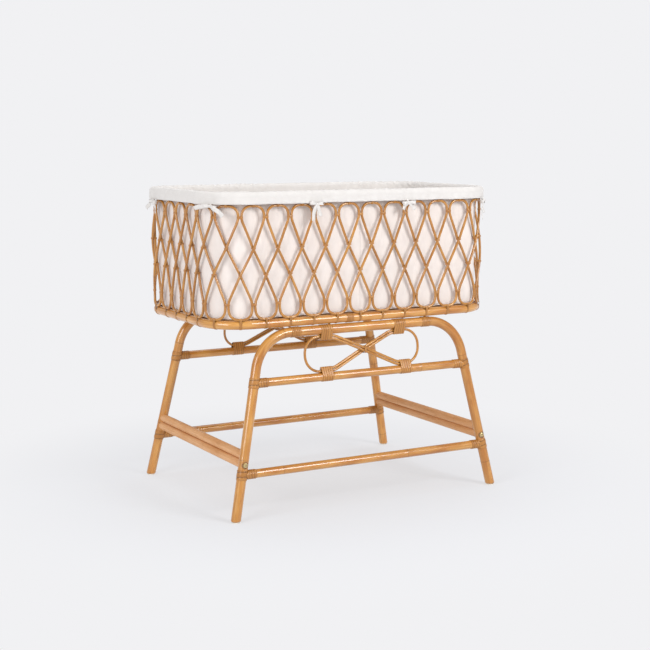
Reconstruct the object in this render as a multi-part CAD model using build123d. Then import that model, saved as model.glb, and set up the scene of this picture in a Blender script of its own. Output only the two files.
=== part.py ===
from build123d import *

import os
from math import acos, atan2, cos, hypot, pi, radians, sin, tan

# Rattan bassinet standing on its own frame. Millimetres, +Z up, +X along the cradle, front at -Y.
# The origin is on the floor, under the middle of the stand.

# ---- stand: driving sizes ----
POLE_D = 25.0  # bent legs and top rails
RAIL_D = 22.0  # middle and lower rails
STRETCHER_D = 22.0  # rods that join the front frame to the back frame
TOP_RAIL_Z = 456.5  # heights of the rail axes
MIDDLE_RAIL_Z = 337.0
LOWER_RAIL_Z = 114.7
STRETCHER_Z = 140.6  # axis of the lower rod of each pair
FOOT_HALF_X = 385.0  # leg axis at the floor
LEG_SPLAY = 11.72  # degrees that a leg leans along the cradle
FRAME_LEAN = 5.70  # degrees that each frame leans to the other
BEND_R = 105.0  # bend from leg to top rail
SPLICE_LEAD = 9.8  # straight run from the bend to the butt joint with the top rail
FIT_GAP = 0.1  # between pieces that are fitted and glued, tied or screwed
GLIDE_T = 3.0
GLIDE_R = 10.5
FOOT_ROUNDING = 1.5

# ---- stand: joints, fasteners and bindings ----
BINDING_T = 1.1  # turns of peel round a pole
SPLICE_BINDING_W = 26.0
RAIL_BINDING_W = 24.0
LEG_BAND_H = 25.0
ORNAMENT_BINDING_W = 33.0
DOWEL_R = 5.0
DOWEL_L = 50.0
SCREW_R = 2.0
SCREW_L = 62.0
SCREW_HEAD_R = 4.0
SCREW_HEAD_T = 3.0
SCREW_SINK = 1.6  # head below the round pole's surface, under the leg band
BOLT_R = 3.0
BOLT_L = 64.0
BOLT_HEAD_R = 5.2
BOLT_HEAD_T = 3.2
BOLT_SEAT_DEPTH = 2.6  # flat seat cut into the round leg
HEX_KEY = 4.0
WASHER_R = 6.5
WASHER_T = 1.2
BARREL_R = 5.0
BARREL_L = 15.0
BARREL_SETBACK = 34.0  # from the leg axis along the rod
DRILL_GAP = 0.2  # extra radius of a drilled hole
PIN_R = 4.0
PIN_L = 36.0
GLIDE_PIN_R = 1.8
GLIDE_PIN_L = 14.0

# ---- stand: figure-eight ornament, as seen on the front frame ----
CANE_D = 6.7
EIGHT_TOP_LEFT_X = -107.0
EIGHT_TOP_RIGHT_X = 111.0
EIGHT_LOW_LEFT_X = -109.0
EIGHT_LOW_RIGHT_X = 127.0
EIGHT_LEFT_X = -169.0  # outermost reach of the left loop
EIGHT_RIGHT_X = 170.0
EIGHT_LOOP_R = 42.0
EIGHT_BEND_R = 40.0
EIGHT_LAYER_GAP = 0.65  # from the frame's plane to each diagonal pair at the crossing
CROSS_WRAP_W = 5.0

# ---- basket: driving sizes ----
RING_HALF_X = 404.0  # axis of the bottom ring
RING_HALF_Y = 232.0
RING_CORNER_R = 96.0
RING_D = 23.0
RING_SPLICE_X = -38.0
RING_SPLICE_W = 20.0
RING_PIN_R = 4.0
RING_PIN_L = 60.0
CANE_OUTSET = 8.0  # from the ring's axis out to the lattice
LOOPS = 36
LOOP_SHIFT = -8.6  # from the middle of the front to the nearest strand contact
TOP_RING_D = 12.0
APEX_RISE = 293.2  # cane axis at the top of a loop, over the bottom ring's axis
UPPER_TOUCH_RISE = 265.2
UPPER_CROSS_RISE = 189.8
LOWER_CROSS_RISE = 124.2
LOWER_TOUCH_RISE = 51.0
SIDE_GAP = 0.2  # half the gap between neighbouring loops
LAYER_GAP = 0.15  # half the gap between crossing strands
LAP_GAP = 1.0  # half the gap between strand ends under a top strap

# ---- basket: ties ----
STRAP_T = 0.9
STRAP_W = 6.5
TIE_T = 0.8
TOUCH_TIE_H = 6.0
CROSS_TIE_H = 4.0
TIE_GAP = 0.5  # slack of a tie round canes that curve inside it
STRAP_SLACK = 0.5  # of a bottom strap round the curved cane
REST_GAP = 0.3  # between the basket's straps and the bindings they stand on

# ---- basket: base and textiles ----
BATTEN_W = 34.0
BATTEN_T = 11.0
BATTEN_STEPS = (-3.5, -1.5, 1.5, 3.5)  # in loop pitches, which puts each batten between two straps
BOARD_T = 9.0
BOARD_GAP = 1.5  # from the board's edge to the ring
VENT_R = 13.0
VENT_PITCH_X = 125.0
VENT_PITCH_Y = 110.0
VENTS_X = 6
VENTS_Y = 3
BASE_SCREW_Y = 150.0
BASE_SCREW_R = 1.75
BASE_SCREW_HEAD_R = 3.6
BASE_SCREW_HEAD_T = 2.2
BASE_SCREW_L = 17.0
SOFT_GAP = 0.3
LINER_GAP = 0.65  # between the lattice's ties and the liner
LINER_T = 2.5
BAND_LOW_RISE = 3.0  # band's lower edge over the loops' tops
BAND_H = 33.0
BAND_GAP = 0.3  # between the top straps and the band
BAND_SKIRT_T = 2.5
BAND_CROWN_T = 14.0
BAND_ROUNDING = 7.0
MATTRESS_GAP = 8.0  # all round, between the mattress and the liner
MATTRESS_T = 45.0
MATTRESS_ROUNDING = 12.0
BOW_EVERY = 4  # loops between one bow and the next
BOW_FIRST = -6
BOWS = 9
BOW_KNOT = 8.0
BOW_STAND_OFF = 2.0
RIBBON_W = 9.0
RIBBON_T = 1.2
BOW_LOOP_L = 26.0
BOW_TAIL_L = 32.0
BOW_TAIL_ANGLE = 55.0
BOW_DROP = 3.0  # knot below the band's edge

# ---- worked out from the sizes above ----
LEAN = radians(FRAME_LEAN)
SPLAY = radians(LEG_SPLAY)
FOOT_HALF_Y = RING_HALF_Y + TOP_RAIL_Z * tan(LEAN)
FRAME_OUT = Vector(0, -cos(LEAN), sin(LEAN))
RING_Z = TOP_RAIL_Z + POLE_D / 2 + BINDING_T + STRAP_T + REST_GAP + RING_D / 2
APEX_Z = RING_Z + APEX_RISE
UPPER_TOUCH_Z = RING_Z + UPPER_TOUCH_RISE
UPPER_CROSS_Z = RING_Z + UPPER_CROSS_RISE
LOWER_CROSS_Z = RING_Z + LOWER_CROSS_RISE
LOWER_TOUCH_Z = RING_Z + LOWER_TOUCH_RISE
WALL_HALF_X = RING_HALF_X + CANE_OUTSET
WALL_HALF_Y = RING_HALF_Y + CANE_OUTSET
WALL_CORNER_R = RING_CORNER_R + CANE_OUTSET
STRAIGHT_X = 2 * (WALL_HALF_X - WALL_CORNER_R)
STRAIGHT_Y = 2 * (WALL_HALF_Y - WALL_CORNER_R)
QUARTER = WALL_CORNER_R * pi / 2
GIRTH = 2 * STRAIGHT_X + 2 * STRAIGHT_Y + 4 * QUARTER
PITCH = GIRTH / LOOPS
CANE_R = CANE_D / 2
LAYER = CANE_R + LAYER_GAP  # a strand's offset at a crossing
EIGHT_LAYER = CANE_R + EIGHT_LAYER_GAP
LOOP_HALF_W = PITCH / 2 - CANE_R - SIDE_GAP
CROSS_TIE_OUT = CANE_D + LAYER_GAP + 2 * TIE_GAP  # from the lattice surface to a tie's inside
SEAT = (RING_D + CANE_D) / 2 + FIT_GAP  # ring axis to the axis of the cane tied on it
SEAT_RISE = (SEAT**2 - CANE_OUTSET**2) ** 0.5
LOOP_LOW_Z = RING_Z + SEAT_RISE
TOP_RING_Z = APEX_Z + CANE_R + FIT_GAP + TOP_RING_D / 2
BAND_LOW_Z = APEX_Z + BAND_LOW_RISE
BAND_TOP_Z = BAND_LOW_Z + BAND_H
BAND_OUTSET = TOP_RING_D / 2 + TIE_GAP + STRAP_T + BAND_GAP + BAND_SKIRT_T
LINER_INSET = CROSS_TIE_OUT + TIE_T + LINER_GAP


def strap_rise(inset):
    """Height of a bottom strap's upper side over the ring's axis, that far inside the lattice."""
    ring_r = RING_D / 2 + STRAP_T
    cane_r = CANE_R + STRAP_SLACK + STRAP_T
    rise = SEAT_RISE + STRAP_SLACK / 2
    normal = atan2(rise, CANE_OUTSET) + acos((ring_r - cane_r) / hypot(CANE_OUTSET, rise))
    return (ring_r - (CANE_OUTSET - inset) * cos(normal)) / sin(normal)


BOARD_TOP_Z = RING_Z + strap_rise(LINER_INSET)  # the liner's floor on it clears the straps
LINER_FLOOR_Z = BOARD_TOP_Z + SOFT_GAP
LINER_WALL_Z = LINER_FLOOR_Z + LINER_T + SOFT_GAP
MATTRESS_Z = LINER_WALL_Z

BODY_Z = Vector(0, 0, 1)


# ---- helpers ----
def leg_x(z):
    """X of the right leg's axis at a height, below the bend."""
    return FOOT_HALF_X - z * tan(SPLAY)


def frame_y(z):
    """Y of the front frame's plane at a height."""
    return -(FOOT_HALF_Y - z * tan(LEAN))


def splice_x():
    """X of the butt joint between the right leg, past its bend, and the top rail."""
    half_turn = (pi / 2 - atan2(tan(SPLAY) * cos(LEAN), 1)) / 2
    return leg_x(TOP_RAIL_Z) - BEND_R * tan(half_turn) - SPLICE_LEAD


def on_frame(x, z, out=0.0):
    """Point on the front frame's plane, or out from it along its normal."""
    return Vector(x, frame_y(z), z) + FRAME_OUT * out


def rod(start, end, diameter):
    """Round bar between two points."""
    start = Vector(start)
    line = Vector(end) - start
    up = (Align.CENTER, Align.CENTER, Align.MIN)
    return Plane(origin=start, z_dir=line) * Cylinder(diameter / 2, line.length, align=up)


def sleeve(start, end, inner_d, wall):
    """Hollow round bar between two points, such as turns of peel round a pole."""
    return rod(start, end, inner_d + 2 * wall) - rod(start, end, inner_d)


def bent_cane(points, radii, diameter):
    """Round cane of straight runs and tangent bends."""
    path = FilletPolyline(*points, radius=radii)
    return sweep(Plane(origin=path @ 0, z_dir=path % 0) * Circle(diameter / 2), path=path)


def mirrored_x(shape):
    """The same piece on the other side of the YZ plane."""
    return mirror(shape, about=Plane.YZ)


def on_back(shape):
    """The same piece on the back frame, which is the front frame turned half round."""
    return shape.rotate(Axis.Z, 180)


def wall_frame(s, z=0.0, out=0.0):
    """Plane on the lattice surface: x along the girth, y inwards, z up.

    s is measured along the girth from the middle of the front, to the right first.
    """
    s = s % GIRTH
    half = GIRTH / 2
    turned = s >= half
    s = s - half if turned else s
    centre_x = WALL_HALF_X - WALL_CORNER_R
    centre_y = WALL_HALF_Y - WALL_CORNER_R
    if s < STRAIGHT_X / 2:
        angle, base = -90.0, Vector(s, -centre_y, 0)
    elif s < STRAIGHT_X / 2 + QUARTER:
        angle = -90.0 + (s - STRAIGHT_X / 2) / WALL_CORNER_R * 180 / pi
        base = Vector(centre_x, -centre_y, 0)
    elif s < STRAIGHT_X / 2 + QUARTER + STRAIGHT_Y:
        angle = 0.0
        base = Vector(centre_x, -centre_y + s - STRAIGHT_X / 2 - QUARTER, 0)
    elif s < STRAIGHT_X / 2 + 2 * QUARTER + STRAIGHT_Y:
        angle = (s - STRAIGHT_X / 2 - QUARTER - STRAIGHT_Y) / WALL_CORNER_R * 180 / pi
        base = Vector(centre_x, centre_y, 0)
    else:
        angle, base = 90.0, Vector(half - s, centre_y, 0)
    normal = Vector(cos(radians(angle)), sin(radians(angle)), 0)
    point = base + normal * (WALL_CORNER_R + out) + BODY_Z * z
    if turned:
        normal = -normal
        point = Vector(-point.X, -point.Y, point.Z)
    return Plane(origin=point, x_dir=BODY_Z.cross(normal), z_dir=BODY_Z)


def wall_point(s, z, out=0.0):
    """Point on the lattice surface, or out from it."""
    return wall_frame(s, z, out).origin


def link_plane(s):
    """Plane across the girth at s: x outwards, y up."""
    wall = wall_frame(s)
    return Plane(origin=wall.origin, x_dir=-wall.y_dir, z_dir=-wall.x_dir)


def link(low, low_d, high, high_d, wall, width, gap=FIT_GAP):
    """Band pulled tight round two round canes: their common outline, as wide as the band."""
    def outline(extra):
        circles = [Pos(*low) * Circle(low_d / 2 + extra), Pos(*high) * Circle(high_d / 2 + extra)]
        return make_hull([edge for circle in circles for edge in circle.edges()])

    return extrude(outline(gap + wall) - outline(gap), amount=width / 2, both=True)


def slab(offset, low_z, high_z, rounding=0.0):
    """Upright block of the lattice surface's outline, offset outwards."""
    size_x = 2 * (WALL_HALF_X + offset)
    size_y = 2 * (WALL_HALF_Y + offset)
    outline = Pos(0, 0, low_z) * RectangleRounded(size_x, size_y, WALL_CORNER_R + offset)
    block = extrude(outline, amount=high_z - low_z)
    if rounding:
        block = fillet(block.faces().sort_by(Axis.Z)[-1].edges(), rounding)
    return block


def group(solids):
    """Separate solids kept together in one node."""
    return Compound([solid for shape in solids for solid in shape.solids()])


# ---- stand ----
def top_splice(side):
    """Point where a bent leg meets the top rail, on the left (-1) or right (1)."""
    return on_frame(side * splice_x(), TOP_RAIL_Z)


def leg_blank():
    """Front right leg: straight pole, one bend and a short run to the splice."""
    below = -POLE_D
    points = [on_frame(leg_x(below), below), on_frame(leg_x(TOP_RAIL_Z), TOP_RAIL_Z), top_splice(1)]
    return bent_cane(points, [BEND_R], POLE_D)


def bolt_point():
    """Where the stretcher bolt's axis crosses the front right leg's axis."""
    return on_frame(leg_x(STRETCHER_Z), STRETCHER_Z)


def stretcher_points():
    """Axes of the two rods where they cross the front right leg, the lower one first."""
    rise = (STRETCHER_D + FIT_GAP) * cos(SPLAY)
    return [bolt_point(), on_frame(leg_x(STRETCHER_Z + rise), STRETCHER_Z + rise)]


def bolt_seat_y():
    """Y of the flat seat cut for the washer."""
    return bolt_point().Y - POLE_D / 2 + BOLT_SEAT_DEPTH


def bolt_holes():
    """Tools that cut the bolt's hole, its seat and the rod's pin hole in the front right leg."""
    at = bolt_point()
    seat = Vector(at.X, bolt_seat_y(), at.Z)
    upper = stretcher_points()[1]
    outward = Vector(0, -POLE_D, 0)
    through = rod(at + outward, at - outward, 2 * (BOLT_R + DRILL_GAP))
    recess = rod(seat, seat + outward, 2 * (WASHER_R + DRILL_GAP))
    pin = rod(upper, upper - outward, 2 * (PIN_R + DRILL_GAP / 2))
    return [through, recess, pin]


def rail_axis(z):
    """Axis of a straight rail between the leg axes, left to right."""
    return on_frame(-leg_x(z), z), on_frame(leg_x(z), z)


def screw_cut(z):
    """Hole and head recess for the screw that enters a rail's right end."""
    end = rail_axis(z)[1]
    out = Vector(POLE_D, 0, 0)
    head = Vector(POLE_D / 2 - SCREW_SINK - SCREW_HEAD_T, 0, 0)
    recess = rod(end + head, end + out, 2 * (SCREW_HEAD_R + DRILL_GAP))
    return [rod(end - out, end + out, 2 * (SCREW_R + DRILL_GAP)), recess]


def dowel_cut(side, radius=DOWEL_R + FIT_GAP / 2):
    """Round bar on the splice's axis: the dowel itself, or its hole."""
    reach = Vector(DOWEL_L / 2 + (radius - DOWEL_R) * 4, 0, 0)
    return rod(top_splice(side) - reach, top_splice(side) + reach, 2 * radius)


def glide_point():
    """Middle of the front right foot, on the floor."""
    return Vector(leg_x(GLIDE_T), frame_y(GLIDE_T), 0)


def leg():
    """Front right leg with its foot cut level and every hole drilled."""
    shape = leg_blank()
    deep = 3 * POLE_D
    low_side = (Align.CENTER, Align.CENTER, Align.MAX)
    shape -= Pos(leg_x(0), frame_y(0), GLIDE_T) * Box(deep, deep, deep, align=low_side)
    shape = fillet(shape.faces().sort_by(Axis.Z)[0].edges(), FOOT_ROUNDING)
    tools = bolt_holes() + screw_cut(LOWER_RAIL_Z) + screw_cut(MIDDLE_RAIL_Z) + [dowel_cut(1)]
    pin_top = BODY_Z * (GLIDE_PIN_L + FIT_GAP)
    tools.append(rod(glide_point(), glide_point() + pin_top, 2 * (GLIDE_PIN_R + FIT_GAP / 2)))
    for tool in tools:
        shape -= tool
    return shape


def top_rail():
    """Straight pole between the two bent legs."""
    gap = Vector(FIT_GAP, 0, 0)
    shape = rod(top_splice(-1) + gap, top_splice(1) - gap, POLE_D)
    return shape - dowel_cut(-1) - dowel_cut(1)


def coped_rail(z):
    """Rail with both ends hollowed to seat on the legs, and its screw holes."""
    left, right = rail_axis(z)
    shape = rod(left, right, RAIL_D)
    for side in (-1, 1):
        base = on_frame(side * leg_x(0), 0)
        top = on_frame(side * leg_x(TOP_RAIL_Z), TOP_RAIL_Z)
        shape -= rod(base, top, POLE_D + 2 * FIT_GAP)
    reach = Vector(SCREW_L, 0, 0)
    for end, inward in ((left, reach), (right, -reach)):
        shape -= rod(end, end + inward, 2 * (SCREW_R + FIT_GAP / 2))
    return shape


def rail_screw(z):
    """Countersunk screw through the right leg into a rail's end."""
    head_end = rail_axis(z)[1] + Vector(POLE_D / 2 - SCREW_SINK, 0, 0)
    inward = Vector(-1, 0, 0)
    shank = rod(head_end, head_end + inward * (SCREW_L - FIT_GAP), 2 * SCREW_R)
    return shank + rod(head_end, head_end + inward * (SCREW_HEAD_T - FIT_GAP), 2 * SCREW_HEAD_R)


def rail_binding(z):
    """Turns of peel on a rail beside the right leg."""
    end = rail_axis(z)[1]
    inner = Vector(-POLE_D / 2, 0, 0)
    wrap = sleeve(end, end + inner + Vector(-RAIL_BINDING_W, 0, 0), RAIL_D + 2 * FIT_GAP, BINDING_T)
    base = on_frame(leg_x(0), 0)
    top = on_frame(leg_x(TOP_RAIL_Z), TOP_RAIL_Z)
    return wrap - rod(base, top, POLE_D + 2 * (2 * FIT_GAP + BINDING_T))


def leg_band(z):
    """Peel wound round the right leg over a rail joint, open where the rail enters."""
    half = LEG_BAND_H / 2 * cos(SPLAY)
    low, high = on_frame(leg_x(z - half), z - half), on_frame(leg_x(z + half), z + half)
    left, right = rail_axis(z)
    return sleeve(low, high, POLE_D + 2 * FIT_GAP, BINDING_T) - rod(left, right, RAIL_D + 2 * FIT_GAP)


def splice_binding():
    """Peel over the right splice."""
    reach = Vector(SPLICE_BINDING_W / 2, 0, 0)
    return sleeve(top_splice(1) - reach, top_splice(1) + reach, POLE_D + 2 * FIT_GAP, BINDING_T)


def stretcher(index):
    """Rod from the front right leg to the back right leg, its ends hollowed to the poles."""
    front = stretcher_points()[index]
    back = Vector(front.X, -front.Y, front.Z)
    shape = rod(front, back, STRETCHER_D)
    for y_sign in (1, -1):
        base, top = on_frame(leg_x(0), 0), on_frame(leg_x(TOP_RAIL_Z), TOP_RAIL_Z)
        base = Vector(base.X, base.Y * y_sign, base.Z)
        top = Vector(top.X, top.Y * y_sign, top.Z)
        shape -= rod(base, top, POLE_D + 2 * FIT_GAP)
    hole_r, hole_l = (BOLT_R + DRILL_GAP, BOLT_L) if index == 0 else (PIN_R + DRILL_GAP / 2, PIN_L)
    for end, y_sign in ((front, 1), (back, -1)):
        shape -= rod(end, end + Vector(0, y_sign * hole_l, 0), 2 * hole_r)
        if index == 0:
            nut = end + Vector(0, y_sign * BARREL_SETBACK, 0)
            drop = BODY_Z * STRETCHER_D
            head = BODY_Z * (BARREL_L / 2 + FIT_GAP)
            shape -= rod(nut - drop, nut + head, 2 * (BARREL_R + FIT_GAP / 2))
    return shape


def stretcher_bolt():
    """Socket bolt through the front right leg into the lower rod."""
    at = bolt_point()
    seat = Vector(at.X, bolt_seat_y() - WASHER_T, at.Z)
    shank = rod(seat, seat + Vector(0, BOLT_L - POLE_D, 0), 2 * BOLT_R)
    crown = seat - Vector(0, BOLT_HEAD_T, 0)
    head = rod(seat, crown, 2 * BOLT_HEAD_R)
    head = fillet(head.faces().sort_by(Axis.Y)[0].edges(), 1.0)
    socket = Plane(origin=crown, z_dir=(0, 1, 0)) * RegularPolygon(HEX_KEY / 2, 6, major_radius=False)
    return shank + head - extrude(socket, amount=BOLT_HEAD_T * 0.7)


def stretcher_washer():
    """Flat washer under the bolt's head."""
    at = bolt_point()
    seat = Vector(at.X, bolt_seat_y(), at.Z)
    outer = seat - Vector(0, WASHER_T, 0)
    return rod(seat, outer, 2 * WASHER_R) - rod(seat, outer, 2 * (BOLT_R + DRILL_GAP))


def barrel_nut():
    """Cross dowel in the lower rod that the bolt screws into."""
    at = bolt_point() + Vector(0, BARREL_SETBACK, 0)
    half = BODY_Z * (BARREL_L / 2)
    bolt_way = Vector(0, BARREL_R * 2, 0)
    thread = rod(at - bolt_way, at + bolt_way, 2 * (BOLT_R + FIT_GAP / 2))
    return rod(at - half, at + half, 2 * BARREL_R) - thread


def stretcher_pin():
    """Wooden pin that keys the upper rod to the leg."""
    upper = stretcher_points()[1]
    inside_leg = Vector(0, POLE_D / 2 - FIT_GAP, 0)
    return rod(upper + Vector(0, FIT_GAP, 0), upper + Vector(0, PIN_L - FIT_GAP, 0), 2 * PIN_R) & rod(
        upper - inside_leg, upper + Vector(0, PIN_L, 0), 2 * PIN_R
    )


def glide():
    """Nylon glide with its drive pin, under the front right foot."""
    at = glide_point()
    disc = rod(at, at + BODY_Z * (GLIDE_T - FIT_GAP), 2 * GLIDE_R)
    disc = fillet(disc.faces().sort_by(Axis.Z)[0].edges(), 0.8)
    return disc + rod(at, at + BODY_Z * GLIDE_PIN_L, 2 * GLIDE_PIN_R)


def four_corners(shape):
    """A piece of the front right corner, repeated at all four corners."""
    front_left = mirrored_x(shape)
    return [shape, front_left, on_back(shape), on_back(front_left)]


# ---- figure-eight ornament ----
def eight_heights():
    """Heights of the cane axes at the bindings: against each rail, then one cane away from it."""
    first_top = (POLE_D / 2 + FIT_GAP + CANE_R) * cos(LEAN)
    first_low = (RAIL_D / 2 + FIT_GAP + CANE_R) * cos(LEAN)
    step = (CANE_D + 2 * LAYER_GAP) * cos(LEAN)
    tops = TOP_RAIL_Z - first_top, TOP_RAIL_Z - first_top - step
    lows = MIDDLE_RAIL_Z + first_low, MIDDLE_RAIL_Z + first_low + step
    return tops, lows


def eight_reach():
    """From the middle of a binding to the corner of the bend that starts at the binding's edge."""
    (top_a, top_b), (low_a, low_b) = eight_heights()
    spans = EIGHT_LOW_RIGHT_X - EIGHT_TOP_LEFT_X + EIGHT_TOP_RIGHT_X - EIGHT_LOW_LEFT_X
    turn = atan2((top_a + top_b - low_a - low_b) / 2, spans / 2 - ORNAMENT_BINDING_W)
    return ORNAMENT_BINDING_W / 2 + EIGHT_BEND_R * tan(turn / 2)


def eight_slope(falling):
    """Slope, in radians, of a diagonal pair below level."""
    (top_a, top_b), (low_a, low_b) = eight_heights()
    reach = 2 * eight_reach()
    fall = EIGHT_LOW_RIGHT_X - EIGHT_TOP_LEFT_X
    rise = EIGHT_TOP_RIGHT_X - EIGHT_LOW_LEFT_X
    return atan2((top_a + top_b - low_a - low_b) / 2, (fall if falling else rise) - reach)


def eight_crossing(side):
    """Point (x, z) on each diagonal pair's middle line where the two pairs cross, and its slope."""
    (top_a, top_b), (low_a, low_b) = eight_heights()
    top_z, low_z = (top_a + top_b) / 2, (low_a + low_b) / 2
    reach = eight_reach()
    falling = (EIGHT_TOP_LEFT_X + reach, EIGHT_LOW_RIGHT_X - reach)
    rising = (EIGHT_TOP_RIGHT_X - reach, EIGHT_LOW_LEFT_X + reach)
    share = (rising[0] - falling[0]) / ((falling[1] - falling[0]) + (rising[0] - rising[1]))
    x = falling[0] + share * (falling[1] - falling[0])
    z = top_z + share * (low_z - top_z)
    run = falling[1] - falling[0] if side > 0 else rising[1] - rising[0]
    length = (run**2 + (top_z - low_z) ** 2) ** 0.5
    across = Vector((top_z - low_z) / length, abs(run) / length, 0)
    if side < 0:
        across = Vector(-across.X, across.Y, 0)
    return x, z, across


def eight_cane(left):
    """One cane: in under a top binding, down a diagonal, round its loop and up the other diagonal."""
    (top_a, top_b), (low_a, low_b) = eight_heights()
    side = 1 if left else -1
    near_top, far_top = EIGHT_TOP_LEFT_X, EIGHT_TOP_RIGHT_X
    near_low, far_low = EIGHT_LOW_LEFT_X, EIGHT_LOW_RIGHT_X
    loop_x, far_loop_x = EIGHT_LEFT_X, EIGHT_RIGHT_X
    if not left:
        near_top, far_top = far_top, near_top
        near_low, far_low = far_low, near_low
        loop_x, far_loop_x = far_loop_x, loop_x
    reach = side * eight_reach()
    free_run = abs(far_loop_x) - EIGHT_LOOP_R - FIT_GAP  # the other cane bends away beyond this
    top_end = side * min(abs(far_top) + ORNAMENT_BINDING_W / 2, free_run)
    low_end = side * min(abs(far_low) + ORNAMENT_BINDING_W / 2, free_run)
    half = CANE_R + LAYER_GAP
    inner_bend = side * 2 * half
    far_reach = reach - inner_bend * tan(eight_slope(not left) / 2)
    low_reach = reach - inner_bend * tan(eight_slope(left) / 2)

    def crossing(falling, above):
        x, z, across = eight_crossing(1 if falling else -1)
        sign = half if above else -half
        out = EIGHT_LAYER if falling else -EIGHT_LAYER
        return on_frame(x + across.X * sign, z + across.Y * sign * cos(LEAN), out)

    points = [
        on_frame(top_end, top_b),
        on_frame(far_top - far_reach, top_b),
        crossing(falling=not left, above=False),
        on_frame(near_low + reach, low_a),
        on_frame(loop_x, low_a),
        on_frame(loop_x, top_a),
        on_frame(near_top + reach, top_a),
        crossing(falling=left, above=True),
        on_frame(far_low - low_reach, low_b),
        on_frame(low_end, low_b),
    ]
    radii = [
        EIGHT_BEND_R, 2 * EIGHT_BEND_R, EIGHT_BEND_R, EIGHT_LOOP_R,
        EIGHT_LOOP_R, EIGHT_BEND_R, 2 * EIGHT_BEND_R, EIGHT_BEND_R,
    ]
    return bent_cane(points, radii, CANE_D)


def ornament_binding(x, at_top):
    """Peel that ties a rail and the two canes beside it."""
    rail_z, rail_d = (TOP_RAIL_Z, POLE_D) if at_top else (MIDDLE_RAIL_Z, RAIL_D)
    sign = -1 if at_top else 1
    cane_y = sign * (rail_d / 2 + FIT_GAP + CANE_R + CANE_D + 2 * LAYER_GAP)
    band = link((0, 0), rail_d, (0, cane_y), CANE_D, BINDING_T, ORNAMENT_BINDING_W)
    return Plane(origin=on_frame(x, rail_z), x_dir=FRAME_OUT, z_dir=Vector(-1, 0, 0)) * band


def ornament_bindings():
    """All four bindings of one ornament."""
    tops = [ornament_binding(x, True) for x in (EIGHT_TOP_LEFT_X, EIGHT_TOP_RIGHT_X)]
    return tops + [ornament_binding(x, False) for x in (EIGHT_LOW_LEFT_X, EIGHT_LOW_RIGHT_X)]


def cross_wrap():
    """Small tie round both diagonal pairs where they cross."""
    x, z, across = eight_crossing(1)
    slope = abs(across.X / across.Y)
    half_up = (2 * CANE_R + LAYER_GAP) / across.Y + slope * CROSS_WRAP_W / 2 + 2 * TIE_GAP
    half_out = EIGHT_LAYER + CANE_R + TIE_GAP
    outer = RectangleRounded(2 * (half_out + BINDING_T), 2 * (half_up + BINDING_T), CANE_R)
    ring = outer - RectangleRounded(2 * half_out, 2 * half_up, CANE_R - BINDING_T / 2)
    band = extrude(ring, amount=CROSS_WRAP_W / 2, both=True)
    return Plane(origin=on_frame(x, z), x_dir=FRAME_OUT, z_dir=Vector(-1, 0, 0)) * band


# ---- basket: rings ----
def ring(half_x, half_y, corner_r, z, diameter):
    """Round pole bent into a closed rounded rectangle."""
    path = (Pos(0, 0, z) * RectangleRounded(2 * half_x, 2 * half_y, corner_r)).wire()
    return sweep(Plane(origin=path @ 0, z_dir=path % 0) * Circle(diameter / 2), path=path)


def ring_splice():
    """Middle of the joint where the bottom ring's two ends meet."""
    return Vector(RING_SPLICE_X, -RING_HALF_Y, RING_Z)


def bottom_ring():
    """Bottom ring, cut at its splice and drilled for the pin inside it."""
    shape = ring(RING_HALF_X, RING_HALF_Y, RING_CORNER_R, RING_Z, RING_D)
    reach = Vector(RING_PIN_L / 2 + FIT_GAP, 0, 0)
    shape -= rod(ring_splice() - reach, ring_splice() + reach, 2 * RING_PIN_R + FIT_GAP)
    return shape - Pos(ring_splice()) * Box(2 * FIT_GAP, 2 * RING_D, 2 * RING_D)


def ring_pin():
    """Wooden pin inside the bottom ring's splice."""
    reach = Vector(RING_PIN_L / 2, 0, 0)
    return rod(ring_splice() - reach, ring_splice() + reach, 2 * RING_PIN_R)


def ring_binding():
    """Turns of peel over the bottom ring's splice."""
    reach = Vector(RING_SPLICE_W / 2, 0, 0)
    return sleeve(ring_splice() - reach, ring_splice() + reach, RING_D + 2 * FIT_GAP, STRAP_T)


# ---- basket: lattice ----
def lattice_cane(index):
    """One cane: from a loop's top down to the right, round a bottom loop and up to the left.

    The run that rises to the right lies on the outer layer, the other one on the inner layer.
    """
    flat = LOOP_HALF_W - 2.5
    wide = LOOP_HALF_W + 0.65
    hang = 3.0

    def at(steps, along, z, out=0.0):
        return wall_point(LOOP_SHIFT + (index + steps) * PITCH + along, z, out)

    half_way = [
        (at(0.5, LAP_GAP, APEX_Z), None),
        (at(0.5, flat, APEX_Z), 23.0),
        (at(0.5, wide, UPPER_TOUCH_Z - 3), 30.0),
        (at(0.5, 0, UPPER_CROSS_Z, LAYER), 80.0),
        (at(0, 0, LOWER_CROSS_Z, LAYER), 80.0),
        (at(0, -wide, LOWER_TOUCH_Z + 3), 40.0),
        (at(0, -flat, LOOP_LOW_Z + hang), 23.0),
        (at(0, 0, LOOP_LOW_Z), 45.0),
        (at(0, flat, LOOP_LOW_Z + hang), 23.0),
        (at(0, wide, LOWER_TOUCH_Z + 3), 40.0),
        (at(0, 0, LOWER_CROSS_Z, -LAYER), 80.0),
        (at(-0.5, 0, UPPER_CROSS_Z, -LAYER), 80.0),
        (at(-0.5, -wide, UPPER_TOUCH_Z - 3), 30.0),
        (at(-0.5, -flat, APEX_Z), 23.0),
        (at(-0.5, -LAP_GAP, APEX_Z), None),
    ]
    points = [point for point, _ in half_way]
    return bent_cane(points, [radius for _, radius in half_way[1:-1]], CANE_D)


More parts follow.
